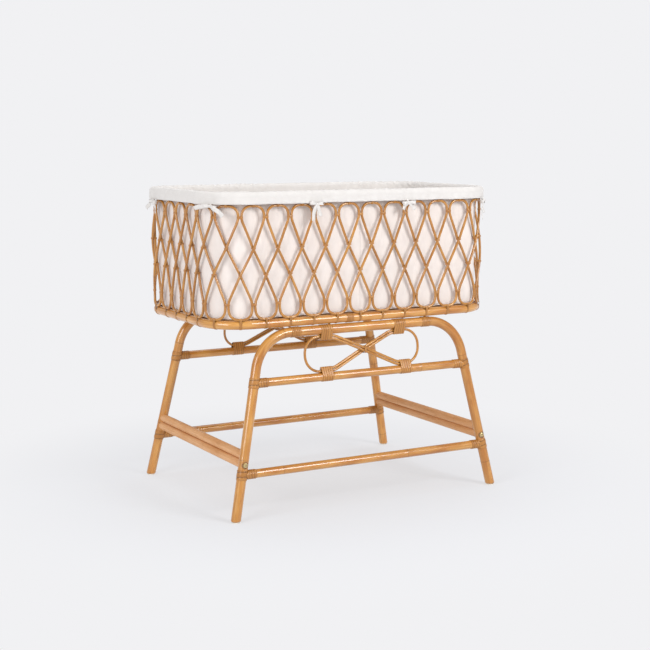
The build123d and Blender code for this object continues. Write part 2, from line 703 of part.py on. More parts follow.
def lattice_sides():
    """Cane indices of the flat front, the right end, the flat back and the left end."""
    flat_half = int((STRAIGHT_X / 2 - PITCH - abs(LOOP_SHIFT)) // PITCH)
    half = LOOPS // 2
    front = list(range(-flat_half, flat_half + 1))
    right = list(range(flat_half + 1, half - flat_half))
    return {
        "front": front,
        "right": right,
        "back": [index + half for index in front],
        "left": [index + half for index in right],
    }


def girdle(half_along, half_out, height):
    """Flat tie wound level round two canes."""
    corner = min(half_along, half_out) * 0.9
    outer = RectangleRounded(2 * (half_along + TIE_T), 2 * (half_out + TIE_T), corner + TIE_T)
    inner = RectangleRounded(2 * half_along, 2 * half_out, corner)
    return extrude(outer - inner, amount=height / 2, both=True)


def touch_ties(z, steps):
    """Ties where neighbouring loops stand side by side, the given steps of pitch along."""
    tie = girdle(CANE_D + SIDE_GAP + 2 * TIE_GAP, CANE_R + 2 * TIE_GAP, TOUCH_TIE_H)
    return [wall_frame(LOOP_SHIFT + (k + steps) * PITCH, z) * tie for k in range(LOOPS)]


def cross_ties(z, steps):
    """Ties where two strands cross, the given steps of pitch from a strand contact."""
    slant = PITCH / 2 / (UPPER_CROSS_Z - LOWER_CROSS_Z)
    half_along = CANE_R * (1 + slant**2) ** 0.5 + slant * CROSS_TIE_H / 2 + TIE_GAP
    tie = girdle(half_along, CROSS_TIE_OUT, CROSS_TIE_H)
    return [wall_frame(LOOP_SHIFT + (k + steps) * PITCH, z) * tie for k in range(LOOPS)]


def bottom_straps():
    """Straps that tie every bottom loop to the bottom ring."""
    cane = (0, LOOP_LOW_Z + STRAP_SLACK / 2)
    cane_d = CANE_D + 2 * STRAP_SLACK
    strap = link((-CANE_OUTSET, RING_Z), RING_D, cane, cane_d, STRAP_T - FIT_GAP, STRAP_W)
    return [link_plane(LOOP_SHIFT + k * PITCH) * strap for k in range(LOOPS)]


def top_straps():
    """Straps that tie every top loop to the top ring, over the ends of its two canes."""
    strap = link((0, APEX_Z), CANE_D, (0, TOP_RING_Z), TOP_RING_D, STRAP_T, STRAP_W, TIE_GAP)
    return [link_plane(LOOP_SHIFT + (k + 0.5) * PITCH) * strap for k in range(LOOPS)]


# ---- basket: base ----
def batten_x():
    """Places of the cross battens along the cradle."""
    return [steps * PITCH for steps in BATTEN_STEPS]


def battens():
    """Flat battens coped to the ring's inner side, under the board."""
    top = BOARD_TOP_Z - BOARD_T - FIT_GAP
    ring_cut = ring(RING_HALF_X, RING_HALF_Y, RING_CORNER_R, RING_Z, RING_D + 2 * FIT_GAP)
    reach = 2 * RING_HALF_Y - RING_D / 2
    high_side = (Align.CENTER, Align.CENTER, Align.MAX)
    shapes = []
    for x in batten_x():
        shape = Pos(x, 0, top) * Box(BATTEN_W, reach, BATTEN_T, align=high_side) - ring_cut
        for y in (-BASE_SCREW_Y, BASE_SCREW_Y):
            shape -= base_screw_way(x, y, BASE_SCREW_R + FIT_GAP / 2)
        shapes.append(max(shape.solids(), key=lambda solid: solid.volume))
    return shapes


def base_screw_way(x, y, radius):
    """Round bar on a base screw's axis."""
    top = Vector(x, y, BOARD_TOP_Z)
    return rod(top - BODY_Z * (BASE_SCREW_L + FIT_GAP), top, 2 * radius)


def base_board():
    """Vented plywood board that fills the ring."""
    inset = RING_D / 2 + BOARD_GAP
    size = 2 * (RING_HALF_X - inset), 2 * (RING_HALF_Y - inset)
    outline = Pos(0, 0, BOARD_TOP_Z - BOARD_T) * RectangleRounded(*size, RING_CORNER_R - inset)
    shape = extrude(outline, amount=BOARD_T)
    middle = BOARD_TOP_Z - BOARD_T / 2
    for x, y in vent_places():
        shape -= Pos(x, y, middle) * Cylinder(VENT_R, 2 * BOARD_T)
    for x in batten_x():
        for y in (-BASE_SCREW_Y, BASE_SCREW_Y):
            shape -= base_screw_way(x, y, BASE_SCREW_R + DRILL_GAP)
            head = Vector(x, y, BOARD_TOP_Z)
            depth = BODY_Z * (BASE_SCREW_HEAD_T + FIT_GAP)
            shape -= rod(head - depth, head, 2 * (BASE_SCREW_HEAD_R + DRILL_GAP))
    return shape


def vent_places():
    """Grid of air holes in the board."""
    return [
        ((i - (VENTS_X - 1) / 2) * VENT_PITCH_X, (j - (VENTS_Y - 1) / 2) * VENT_PITCH_Y)
        for i in range(VENTS_X)
        for j in range(VENTS_Y)
    ]


def base_screws():
    """Screws that hold the board on the battens."""
    shapes = []
    for x in batten_x():
        for y in (-BASE_SCREW_Y, BASE_SCREW_Y):
            top = Vector(x, y, BOARD_TOP_Z - FIT_GAP)
            shank = rod(top, top - BODY_Z * (BASE_SCREW_L - FIT_GAP), 2 * BASE_SCREW_R)
            head = rod(top, top - BODY_Z * (BASE_SCREW_HEAD_T - FIT_GAP), 2 * BASE_SCREW_HEAD_R)
            shapes.append(shank + head)
    return shapes


# ---- basket: textiles ----
def liner_floor():
    """Cloth floor over the board."""
    return slab(-LINER_INSET, LINER_FLOOR_Z, LINER_FLOOR_Z + LINER_T)


def liner_wall():
    """Cloth wall inside the lattice, open at the top."""
    top = BAND_LOW_Z - SOFT_GAP
    outer = slab(-LINER_INSET, LINER_WALL_Z, top)
    return outer - slab(-LINER_INSET - LINER_T, LINER_WALL_Z, top)


def rim_band():
    """Padded band folded over the top ring: an inner skirt, an outer skirt and a thick crown."""
    inner = -LINER_INSET - LINER_T
    groove_top = BAND_TOP_Z - BAND_CROWN_T
    shape = slab(BAND_OUTSET, BAND_LOW_Z, BAND_TOP_Z, BAND_ROUNDING)
    shape -= slab(inner, BAND_LOW_Z, BAND_TOP_Z)
    groove = slab(BAND_OUTSET - BAND_SKIRT_T, BAND_LOW_Z, groove_top)
    return shape - (groove - slab(-LINER_INSET, BAND_LOW_Z, groove_top))


def ribbon(length, angle):
    """Flat ribbon from the knot, hanging at an angle below level, in the plane of the wall."""
    strip = Box(length, RIBBON_T, RIBBON_W, align=(Align.MIN, Align.CENTER, Align.CENTER))
    return Rot(0, angle, 0) * strip


def bow():
    """Tied ribbon: knot, two loops and two hanging tails, as one plain solid."""
    shape = Box(BOW_KNOT, BOW_KNOT * 0.7, BOW_KNOT)
    for turn in (0, 180):
        shape += Rot(0, 0, turn) * ribbon(BOW_LOOP_L, 5)
        shape += Rot(0, 0, turn) * ribbon(BOW_TAIL_L, BOW_TAIL_ANGLE)
    return shape


def ribbon_bows():
    """Bows that tie the band to every fourth loop contact."""
    out = BAND_OUTSET + BOW_STAND_OFF + BOW_KNOT / 2
    height = BAND_LOW_Z - BOW_DROP
    places = [LOOP_SHIFT + (BOW_FIRST + BOW_EVERY * i) * PITCH for i in range(BOWS)]
    return [wall_frame(s, height, out) * bow() for s in places]


def mattress():
    """Foam mattress that lies on the liner's floor."""
    inset = -LINER_INSET - LINER_T - MATTRESS_GAP
    block = slab(inset, MATTRESS_Z, MATTRESS_Z + MATTRESS_T, MATTRESS_ROUNDING)
    return fillet(block.faces().sort_by(Axis.Z)[0].edges(), MATTRESS_ROUNDING)


# ---- nodes ----
def frame_nodes():
    """Pieces of the front and back frames; the back frame is the front one turned half round."""
    right_leg = leg()
    left_leg = mirrored_x(right_leg)
    bands = [leg_band(z) for z in (LOWER_RAIL_Z, MIDDLE_RAIL_Z)]
    wraps = [rail_binding(z) for z in (LOWER_RAIL_Z, MIDDLE_RAIL_Z)]
    front = {
        "right_leg": [right_leg],
        "left_leg": [left_leg],
        "top_rail": [top_rail()],
        "middle_rail": [coped_rail(MIDDLE_RAIL_Z)],
        "lower_rail": [coped_rail(LOWER_RAIL_Z)],
        "splice_dowels": [dowel_cut(side, DOWEL_R) for side in (-1, 1)],
        "splice_bindings": [splice_binding(), mirrored_x(splice_binding())],
        "rail_bindings": wraps + [mirrored_x(wrap) for wrap in wraps],
        "leg_bands": bands + [mirrored_x(band) for band in bands],
        "eight_left_cane": [eight_cane(True)],
        "eight_right_cane": [eight_cane(False)],
        "eight_bindings": ornament_bindings(),
        "eight_cross_wrap": [cross_wrap()],
    }
    turned = {"left": "right", "right": "left"}
    nodes = {}
    for name, shapes in front.items():
        side = name.split("_")[0]
        back_name = name.replace(side, turned[side], 1) if name.endswith("_leg") else name
        nodes["front_" + name] = shapes
        nodes["back_" + back_name] = [on_back(shape) for shape in shapes]
    return nodes


def stand_nodes():
    """Every piece of the stand."""
    nodes = frame_nodes()
    for index, level in enumerate(("lower", "upper")):
        nodes[f"right_{level}_stretcher"] = [stretcher(index)]
        nodes[f"left_{level}_stretcher"] = [mirrored_x(stretcher(index))]
    lower_screws = four_corners(rail_screw(LOWER_RAIL_Z))
    nodes["rail_screws"] = lower_screws + four_corners(rail_screw(MIDDLE_RAIL_Z))
    nodes["stretcher_bolts"] = four_corners(stretcher_bolt())
    nodes["stretcher_washers"] = four_corners(stretcher_washer())
    nodes["stretcher_barrel_nuts"] = four_corners(barrel_nut())
    nodes["stretcher_pins"] = four_corners(stretcher_pin())
    nodes["foot_glides"] = four_corners(glide())
    return nodes


def basket_nodes():
    """Every piece of the lift-off basket."""
    nodes = {
        "bottom_ring": [bottom_ring()],
        "bottom_ring_pin": [ring_pin()],
        "bottom_ring_binding": [ring_binding()],
        "top_ring": [ring(WALL_HALF_X, WALL_HALF_Y, WALL_CORNER_R, TOP_RING_Z, TOP_RING_D)],
        "upper_touch_ties": touch_ties(UPPER_TOUCH_Z, 0),
        "upper_cross_ties": cross_ties(UPPER_CROSS_Z, 0.5),
        "lower_cross_ties": cross_ties(LOWER_CROSS_Z, 0),
        "lower_touch_ties": touch_ties(LOWER_TOUCH_Z, 0.5),
        "bottom_straps": bottom_straps(),
        "top_straps": top_straps(),
        "base_battens": battens(),
        "base_board": [base_board()],
        "base_screws": base_screws(),
        "liner_floor": [liner_floor()],
        "liner_wall": [liner_wall()],
        "rim_band": [rim_band()],
        "ribbon_bows": ribbon_bows(),
        "mattress": [mattress()],
    }
    for side, indices in lattice_sides().items():
        nodes[f"{side}_lattice"] = [lattice_cane(index) for index in indices]
    return nodes


def main():
    """Builds every node and writes it to parts/."""
    os.makedirs("parts", exist_ok=True)
    for name, shapes in {**stand_nodes(), **basket_nodes()}.items():
        export_step(group(shapes), f"parts/{name}.step")


main()
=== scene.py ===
"""Looks of a rattan bassinet on its stand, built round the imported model.

Metres, +Z up, +X along the cradle, front at -Y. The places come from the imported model's boxes.
"""

import logging
import math
from dataclasses import dataclass, field
from enum import Enum
from typing import Callable, Sequence

import bpy
import numpy as np
from mathutils import Euler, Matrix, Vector


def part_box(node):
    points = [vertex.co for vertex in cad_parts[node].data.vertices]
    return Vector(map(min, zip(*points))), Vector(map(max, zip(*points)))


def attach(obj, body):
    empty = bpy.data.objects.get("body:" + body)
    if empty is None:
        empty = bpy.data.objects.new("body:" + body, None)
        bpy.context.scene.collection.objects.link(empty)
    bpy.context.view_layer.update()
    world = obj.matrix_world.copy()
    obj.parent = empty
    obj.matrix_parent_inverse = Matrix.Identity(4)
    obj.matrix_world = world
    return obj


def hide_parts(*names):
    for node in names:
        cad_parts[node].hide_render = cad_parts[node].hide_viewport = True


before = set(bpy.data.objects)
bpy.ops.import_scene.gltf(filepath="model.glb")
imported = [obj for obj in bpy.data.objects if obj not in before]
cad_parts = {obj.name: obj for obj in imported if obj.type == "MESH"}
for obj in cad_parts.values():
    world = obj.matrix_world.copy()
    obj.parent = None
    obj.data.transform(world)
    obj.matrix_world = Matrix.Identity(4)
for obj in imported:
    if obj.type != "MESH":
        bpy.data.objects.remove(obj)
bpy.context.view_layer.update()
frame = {"nodes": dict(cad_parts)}

MM = 0.001
UP = np.array([0.0, 0.0, 1.0])
LOG = logging.getLogger("bassinet")

Array = np.ndarray
EndCut = Callable[[Array, Array], Array]
Rods = Sequence[tuple[float, float, float]]


class Body(Enum):
    """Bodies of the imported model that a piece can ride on."""

    STAND = "stand"
    BASKET = "basket"
    MATTRESS = "mattress"


class FrameSide(Enum):
    """The stand's two frames. The back one is the front one turned half round."""

    FRONT = "front"
    BACK = "back"

    def turn(self, points: Array) -> Array:
        """Points of the front frame, brought to this frame."""
        return points if self is FrameSide.FRONT else points * np.array([-1.0, -1.0, 1.0])

    def leg_name(self, right: bool) -> str:
        """Node name of the leg that is the front frame's right or left one before turning."""
        is_right = right if self is FrameSide.FRONT else not right
        return f"{self.value}_{'right' if is_right else 'left'}_leg"


# ---------------------------------------------------------------- geometry helpers


def unit(vectors: Array) -> Array:
    """Vectors divided by their own lengths."""
    return vectors / np.linalg.norm(vectors, axis=-1, keepdims=True)


def rounded_path(points: Sequence[Sequence[float]], radii: Sequence[float]) -> Array:
    """Runs joined by tangent arcs.

    An arc of half turn h starts r*tan(h) before its corner; its point at angle t is
    centre - r*cos(t)*inward + r*sin(t)*forward.

    Args:
        points: corners, first and last being the path's ends.
        radii: one radius for each inner corner.

    Returns:
        The path's points, an arc having one for each degree and a half.
    """
    corners = [np.asarray(point, float) for point in points]
    pieces = [corners[0][None]]
    for before, corner, after, radius in zip(corners, corners[1:], corners[2:], radii):
        forward, leaving = unit(corner - before), unit(after - corner)
        turn = math.acos(float(np.clip(forward @ leaving, -1, 1)))
        inward = unit(leaving - (leaving @ forward) * forward)
        start = corner - forward * radius * math.tan(turn / 2)
        t = np.linspace(0, turn, max(3, int(math.degrees(turn) / 1.5)))[:, None]
        pieces.append(start + inward * radius * (1 - np.cos(t)) + forward * radius * np.sin(t))
    pieces.append(corners[-1][None])
    return np.concatenate(pieces)


def lengths_along(path: Array) -> Array:
    """Distance along a path to each of its points."""
    return np.concatenate([[0.0], np.cumsum(np.linalg.norm(np.diff(path, axis=0), axis=1))])


def read_at(values: Array, along: Array, places: Array) -> Array:
    """Vectors known at distances along a path, read between them at the given places."""
    return np.stack([np.interp(places, along, column) for column in values.T], axis=1)


def at_lengths(path: Array, places: Array) -> Array:
    """Points of a path at the given distances along it, read between its own points."""
    return read_at(path, lengths_along(path), places)


def softened(path: Array, reach: float, step: float = 2 * MM) -> Array:
    """A path with its changes of bend spread out: each point is a Gaussian mean of its neighbours.

    Args:
        path: points of the path.
        reach: standard deviation of the Gaussian, along the path.
        step: spacing of the new points.

    Returns:
        Evenly spaced points with the same two ends.
    """
    total = lengths_along(path)[-1]
    even = at_lengths(path, np.linspace(0, total, int(total / step) + 1))
    half = int(3 * reach / step)
    weights = np.exp(-0.5 * (np.arange(-half, half + 1) * step / reach) ** 2)
    padded = np.concatenate(
        [2 * even[0] - even[half:0:-1], even, 2 * even[-1] - even[-2 : -half - 2 : -1]]
    )
    smooth = [np.convolve(column, weights / weights.sum(), "valid") for column in padded.T]
    return np.stack(smooth, axis=1)


def waves(turns: Array, counts: Sequence[int], heights: Sequence[float], seed: int) -> Array:
    """Sum of sines that closes on itself: height * sin(2 pi count turns + phase).

    Args:
        turns: places as a share of the closed length.
        counts: whole waves in that length.
        heights: height of each wave.
        seed: for the phases.

    Returns:
        The sum at each place.
    """
    phases = np.random.default_rng(seed).uniform(0, 2 * np.pi, len(counts))
    total = np.zeros_like(turns, dtype=float)
    for count, height, phase in zip(counts, heights, phases):
        total = total + height * np.sin(2 * np.pi * count * turns + phase)
    return total


def bell(distance: Array, width: float) -> Array:
    """1 at no distance, falling as exp(-(distance / width) squared)."""
    return np.exp(-((distance / width) ** 2))


# ---------------------------------------------------------------- meshes


def store(mesh: bpy.types.Mesh, name: str, values: Array) -> None:
    """Stores a vector or a number at each of a mesh's points."""
    kind, key = ("FLOAT_VECTOR", "vector") if values.ndim == 2 else ("FLOAT", "value")
    mesh.attributes.new(name, kind, "POINT").data.foreach_set(key, values.ravel().astype(np.float32))


class Shell:
    """Points, faces and surface attributes of one piece, gathered part by part.

    grain is a place in the material's own space, tone shifts a part's colour from -1 to 1, and mark
    darkens it from 0 to 1: dark joint lines of the rattan, and painted shade in the grooves of wound
    peel, round bolt recesses and along the mattress's seams.
    """

    def __init__(self) -> None:
        """Starts with nothing."""
        self.points: list[Array] = []
        self.grain: list[Array] = []
        self.tone: list[Array] = []
        self.mark_and_shade: list[Array] = []
        self.quads: list[Array] = []
        self.triangles: list[Array] = []
        self.count = 0

    def grid(
        self,
        points: Array,
        grain: Array,
        mark_and_shade: Array | float = 0.0,
        tone: Array | float = 0.0,
        ring_rows: bool = False,
        ring_columns: bool = True,
        caps: tuple[bool, bool] = (False, False),
    ) -> "Shell":
        """Adds a surface of two parameters, rows by columns.

        Args:
            points: rows x columns x 3; rows x columns turn anticlockwise seen from outside.
            grain: the same shape, in the material's space.
            mark_and_shade: rows x columns, or one value.
            tone: rows x columns, or one value.
            ring_rows: the last row joins the first.
            ring_columns: the last column joins the first.
            caps: whether the first and the last row close to their middles.

        Returns:
            This shell.
        """
        rows, columns = points.shape[:2]
        index = np.arange(rows * columns).reshape(rows, columns) + self.count
        low = index if ring_rows else index[:-1]
        high = np.roll(index, -1, 0) if ring_rows else index[1:]
        quads = np.stack([low, np.roll(low, -1, 1), np.roll(high, -1, 1), high], axis=-1)
        self.quads.append((quads if ring_columns else quads[:, :-1]).reshape(-1, 4))
        self._store(points, grain, mark_and_shade, tone)
        for row, wanted in ((0, caps[0]), (rows - 1, caps[1])):
            if not wanted:
                continue
            middle = np.full(columns, self.count)
            edge, following = index[row], np.roll(index[row], -1)
            order = (middle, following, edge) if row == 0 else (middle, edge, following)
            self.triangles.append(np.stack(order, axis=1))
            middles = [value[row].mean(0)[None, None] for value in (points, grain)]
            shares = [np.broadcast_to(value, (rows, columns))[row].mean() for value in (mark_and_shade, tone)]
            self._store(*middles, *shares)
        return self

    def _store(
        self, points: Array, grain: Array, mark_and_shade: Array | float, tone: Array | float
    ) -> None:
        """Appends points and their attributes, and counts them."""
        shape = points.shape[:2]
        self.points.append(points.reshape(-1, 3))
        self.grain.append(np.broadcast_to(grain, points.shape).reshape(-1, 3))
        self.mark_and_shade.append(np.broadcast_to(mark_and_shade, shape).reshape(-1))
        self.tone.append(np.broadcast_to(tone, shape).reshape(-1))
        self.count += shape[0] * shape[1]

    def mesh(self, name: str) -> bpy.types.Mesh:
        """The gathered parts as one Blender mesh, smooth with sharp edges where it turns sharply."""
        quads = np.concatenate(self.quads or [np.zeros((0, 4), int)])
        triangles = np.concatenate(self.triangles or [np.zeros((0, 3), int)])
        corners = np.concatenate([quads.reshape(-1), triangles.reshape(-1)])
        starts = np.concatenate(
            [np.arange(len(quads)) * 4, len(quads) * 4 + np.arange(len(triangles)) * 3]
        )
        mesh = bpy.data.meshes.new(name)
        mesh.vertices.add(self.count)
        mesh.vertices.foreach_set("co", np.concatenate(self.points).ravel().astype(np.float32))
        mesh.loops.add(len(corners))
        mesh.loops.foreach_set("vertex_index", corners.astype(np.int32))
        mesh.polygons.add(len(starts))
        mesh.polygons.foreach_set("loop_start", starts.astype(np.int32))
        mesh.update(calc_edges=True)
        mesh.validate()
        mesh.polygons.foreach_set("use_smooth", np.ones(len(mesh.polygons), bool))
        for label, values in (("grain", self.grain), ("mark_and_shade", self.mark_and_shade), ("tone", self.tone)):
            store(mesh, label, np.concatenate(values))
        mesh.set_sharp_from_angle(angle=math.radians(50))
        return mesh

    def piece(
        self,
        name: str,
        material: bpy.types.Material,
        body: Body,
        slot: str,
        replaces: Sequence[str] = (),
    ) -> bpy.types.Object:
        """The gathered parts as an object that rides on a body.

        Args:
            name: piece name.
            material: its finish.
            body: the body that it moves with.
            slot: the record's material slot; not used.
            replaces: CAD nodes that it stands for.

        Returns:
            The new object.
        """
        made = bpy.data.objects.new(name, self.mesh(name))
        bpy.context.scene.collection.objects.link(made)
        made.data.materials.append(material)
        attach(made, body.value)
        if replaces:
            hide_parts(*replaces)
        LOG.info("%s: %d points", name, self.count)
        return made


def thicken(piece: bpy.types.Object, thickness: float) -> None:
    """Gives a sheet its thickness, half to each side."""
    wall = piece.modifiers.new("thickness", "SOLIDIFY")
    wall.thickness = thickness
    wall.offset = 0.0


# ---------------------------------------------------------------- poles, canes and wraps


@dataclass(frozen=True)
class Seat:
    """Round flat recess for a bolt's washer: its middle, the way it faces, and its radius."""

    centre: Array
    facing: Array
    radius: float

    def sink(self, points: Array) -> tuple[Array, Array]:
        """Lowers what lies over the recess onto its floor.

        Args:
            points: surface points.

        Returns:
            The lowered points, and how strongly each one takes the painted shade in a ring round the
            recess's rim.
        """
        apart = points - self.centre
        height = apart @ self.facing
        away = np.linalg.norm(apart - height[..., None] * self.facing, axis=-1)
        inside = np.clip((self.radius - away) / (0.6 * MM), 0, 1) * (height > 0)
        # painted shade: a dark ring just outside the recess's rim, where the rim would cast shade
        edge = bell(away - self.radius - 0.6 * MM, 1.8 * MM) * (height > -2 * MM)
        return points - self.facing * (height * inside)[..., None], edge


@dataclass
class Rod:
    """Round pole or cane along a path.

    A point is path(s) + r(s) * (cos a * first + sin a * second), where first is the reference
    direction made square to the path and second is the path's direction x first. r(s) swells a
    little at each growth joint, and falls by e - sqrt(e^2 - (e - s)^2) at a start rounded by e.
    """

    path: Array
    radius: float
    reference: Array
    seed: int
    around: int = 24
    step: float = 8 * MM
    joint_spacing: float = 0.0
    swell: float = 0.35 * MM
    closed: bool = False
    start: EndCut | None = None
    end: EndCut | None = None
    blend: float = 40 * MM
    ease: float = 0.0  # radius of the rounded edge at the start
    seats: Sequence[Seat] = ()

    def add_to(self, shell: Shell) -> None:
        """Works the surface out and adds it to a shell."""
        rng = np.random.default_rng(self.seed)
        along = lengths_along(self.path)
        total = along[-1]
        places = np.linspace(0, total, max(3, int(total / self.step) + 1))
        joints = np.zeros(0)
        if self.joint_spacing:
            gaps = self.joint_spacing * rng.uniform(0.7, 1.3, int(2 * total / self.joint_spacing) + 2)
            joints = np.cumsum(gaps) - gaps[0] * rng.uniform(0.2, 0.9)
            joints = joints[(joints > 12 * MM) & (joints < total - 12 * MM)]
            near = np.array([-4.0, -2.0, -1.0, -0.4, 0.4, 1.0, 2.0, 4.0]) * MM
            places = np.union1d(places, (joints[:, None] + near).ravel())
            places = places[np.concatenate([[True], np.diff(places) > 0.2 * MM])]
        for seat in self.seats:
            nearest = along[np.argmin(np.linalg.norm(self.path - seat.centre, axis=1))]
            places = np.union1d(places, nearest + np.linspace(-1.3, 1.3, 25) * seat.radius)
        if self.ease:
            places = np.union1d(places, self.ease * np.array([0.15, 0.4, 0.7, 1.0]))
        if self.closed:
            places = places[:-1]
        middle = at_lengths(self.path, places)
        ahead = np.gradient(self.path, along, axis=0)
        if self.closed:
            ahead[0] = ahead[-1] = (ahead[0] + ahead[-1]) / 2
        ahead = unit(read_at(ahead, along, places))
        reference = read_at(np.broadcast_to(self.reference, self.path.shape), along, places)
        first = unit(reference - (reference * ahead).sum(1, keepdims=True) * ahead)
        second = np.cross(ahead, first)
        apart = places[:, None] - joints[None]
        swell = bell(apart, 3 * MM).sum(1) - 0.8 * bell(apart, 0.9 * MM).sum(1)
        radius = self.radius + self.swell * swell
        if self.ease:
            short = np.clip(1 - places / self.ease, 0, 1)
            radius = radius - self.ease * (1 - np.sqrt(1 - short**2))
        angle = np.linspace(0, 2 * np.pi, self.around, endpoint=False)
        ring = first[:, None] * np.cos(angle)[:, None] + second[:, None] * np.sin(angle)[:, None]
        points = middle[:, None] + ring * radius[:, None, None]
        for cut, row, sign, reach in (
            (self.start, 0, -1, places),
            (self.end, -1, 1, total - places),
        ):
            if cut is None:
                continue
            outward = sign * ahead[row]
            share = np.clip(1 - reach / self.blend, 0, 1)[:, None]
            move = cut(points[row], outward)[None] * share
            points = points + move[..., None] * outward
        grain = np.empty_like(points)
        grain[..., 0] = places[:, None] + rng.uniform(0, 9)
        grain[..., 1] = np.cos(angle) * self.radius + rng.uniform(0, 1)
        grain[..., 2] = np.sin(angle) * self.radius
        mark_and_shade = np.broadcast_to(bell(apart, 0.8 * MM).sum(1)[:, None], points.shape[:2])
        for seat in self.seats:
            points, edge = seat.sink(points)
            # painted shade in a ring round the bolt recess, added to the dark joint lines
            mark_and_shade = np.maximum(mark_and_shade, 1.6 * edge)
        caps = (not self.closed, not self.closed)
        tone = rng.uniform(-1, 1)
        shell.grid(points, grain, mark_and_shade, tone, ring_rows=self.closed, caps=caps)


def cope_to(pole_point: Array, pole_direction: Array, radius: float) -> EndCut:
    """End cut that seats a rod on a round pole.

    The distance t solves |part of (point + t*outward - pole_point) across the pole| = radius,
    taking the root on the rod's own side.

    Args:
        pole_point: a point on the pole's axis.
        pole_direction: unit vector along it.
        radius: the pole's radius and any gap.

    Returns:
        The cut, from an end ring's points and the outward direction to distances.
    """

    def cut(ring: Array, outward: Array) -> Array:
        """Distances along outward from each point of the ring to the pole."""
        away = ring - pole_point
        away = away - (away @ pole_direction)[:, None] * pole_direction
        across = outward - (outward @ pole_direction) * pole_direction
        square = across @ across
        half = away @ across
        rest = np.maximum(half**2 - square * ((away**2).sum(1) - radius**2), 0)
        return (-half - np.sqrt(rest)) / square

    return cut


def level_at(height: float) -> EndCut:
    """End cut on a level plane: outward * t brings each point to the height."""
    return lambda ring, outward: (height - ring[:, 2]) / outward[2]


@dataclass
class Wrap:
    """Turns of peel pulled round one or two round rods.

    Seen along the rods, the outline has at each angle a the point where a line square to
    d = (cos a, sin a) touches: centre + r*d of the rod that reaches furthest along d. A turn bulges by
    wall * sqrt(1 - (2f - 1)^2), where f is the fraction of turns*u - a/2pi, so its groove is a helix.
    """

    origin: Array
    across: Array
    along: Array
    rods: Rods
    start: float | Array
    end: float | Array
    turns: float
    seed: int
    wall: float = 1.1 * MM
    around: int = 40
    rows_per_turn: int = 9

    def add_to(self, shell: Shell) -> None:
        """Works the surface out and adds it to a shell."""
        rng = np.random.default_rng(self.seed)
        up = np.cross(self.along, self.across)
        angle = np.linspace(0, 2 * np.pi, self.around, endpoint=False)
        heading = np.stack([np.cos(angle), np.sin(angle)], axis=1)
        centres = np.array([(a, b) for a, b, _ in self.rods])
        radii = np.array([r for _, _, r in self.rods])
        furthest = np.argmax(heading @ centres.T + radii, axis=1)
        touch = centres[furthest] + radii[furthest][:, None] * heading
        rows = max(3, int(self.turns * self.rows_per_turn) + 1)
        u = np.linspace(0, 1, rows)[:, None]
        fraction = (self.turns * u - angle / (2 * np.pi)) % 1
        bulge = np.sqrt(np.clip(1 - (2 * fraction - 1) ** 2, 0, 1))
        height = self.wall * (0.25 + 0.75 * bulge)
        height[[0, -1]] = self.wall * 0.3
        u = np.concatenate([u, [[1.0], [0.0]]])
        height = np.concatenate([height, np.zeros((2, self.around))])
        bulge = np.concatenate([bulge, np.zeros((2, self.around))])
        flat = touch[None] + heading[None] * height[..., None]
        axial = self.start + (self.end - self.start) * u
        axial = np.broadcast_to(axial, height.shape)
        points = (
            self.origin
            + flat[..., :1] * self.across
            + flat[..., 1:] * up
            + axial[..., None] * self.along
        )
        grain = np.empty_like(points)
        step = np.linalg.norm(np.roll(touch, -1, 0) - touch, axis=1)
        grain[..., 0] = np.cumsum(step) + rng.uniform(0, 9)
        grain[..., 1] = axial + rng.uniform(0, 1)
        grain[..., 2] = 0.0
        # painted shade in the groove between turns: darkest where a turn bulges least
        mark_and_shade = 1 - np.clip(bulge * 1.25, 0, 1)
        shell.grid(points, grain, mark_and_shade, rng.uniform(-1, 1), ring_rows=True)


# ---------------------------------------------------------------- finishes


def linear(colour: str) -> tuple[float, float, float, float]:
    """sRGB hex to linear: c/12.92 up to 0.04045, and ((c + 0.055)/1.055)**2.4 above it."""
    channels = [int(colour[i : i + 2], 16) / 255 for i in (1, 3, 5)]
    lit = [c / 12.92 if c <= 0.04045 else ((c + 0.055) / 1.055) ** 2.4 for c in channels]
    return (*lit, 1.0)


def add_node(
    tree: bpy.types.NodeTree, kind: str, inputs: dict | None = None, **settings: object
) -> bpy.types.Node:
    """Adds a node with its settings, values and links.

    Args:
        tree: the material's tree.
        kind: the node's type, without its ShaderNode prefix.
        inputs: socket name or number to a value, or to a socket that links in.
        settings: the node's own properties.

    Returns:
        The node.
    """
    node = tree.nodes.new("ShaderNode" + kind)
    for name, value in settings.items():
        setattr(node, name, value)
    for key, value in (inputs or {}).items():
        if isinstance(value, bpy.types.NodeSocket):
            tree.links.new(value, node.inputs[key])
        else:
            node.inputs[key].default_value = value
    return node


def new_material(name: str) -> tuple[bpy.types.Material, bpy.types.NodeTree]:
    """An empty node material and its tree."""
    material = bpy.data.materials.new(name)
    material.use_nodes = True
    material.node_tree.nodes.clear()
    return material, material.node_tree


def add_surface(
    tree: bpy.types.NodeTree, colour: bpy.types.NodeSocket, roughness: bpy.types.NodeSocket | float,
    normal: bpy.types.NodeSocket, others: dict,
) -> None:
    """Ends a tree with a principled shader; others are its further inputs."""
    inputs = {"Base Color": colour, "Roughness": roughness, "Normal": normal, **others}
    shader = add_node(tree, "BsdfPrincipled", inputs)
    add_node(tree, "OutputMaterial", {"Surface": shader.outputs[0]})


def stretched_noise(
    tree: bpy.types.NodeTree, place: bpy.types.NodeSocket, size: Sequence[float], detail: float
) -> bpy.types.NodeSocket:
    """Noise whose features have the given size along each axis, from 0 to 1."""
    scaled = add_node(
        tree, "Mapping", {"Vector": place, "Scale": tuple(1 / length for length in size)}
    )
    noise = add_node(
        tree, "TexNoise", {"Vector": scaled.outputs[0], "Scale": 1.0, "Detail": detail}
    )
    return noise.outputs["Fac"]


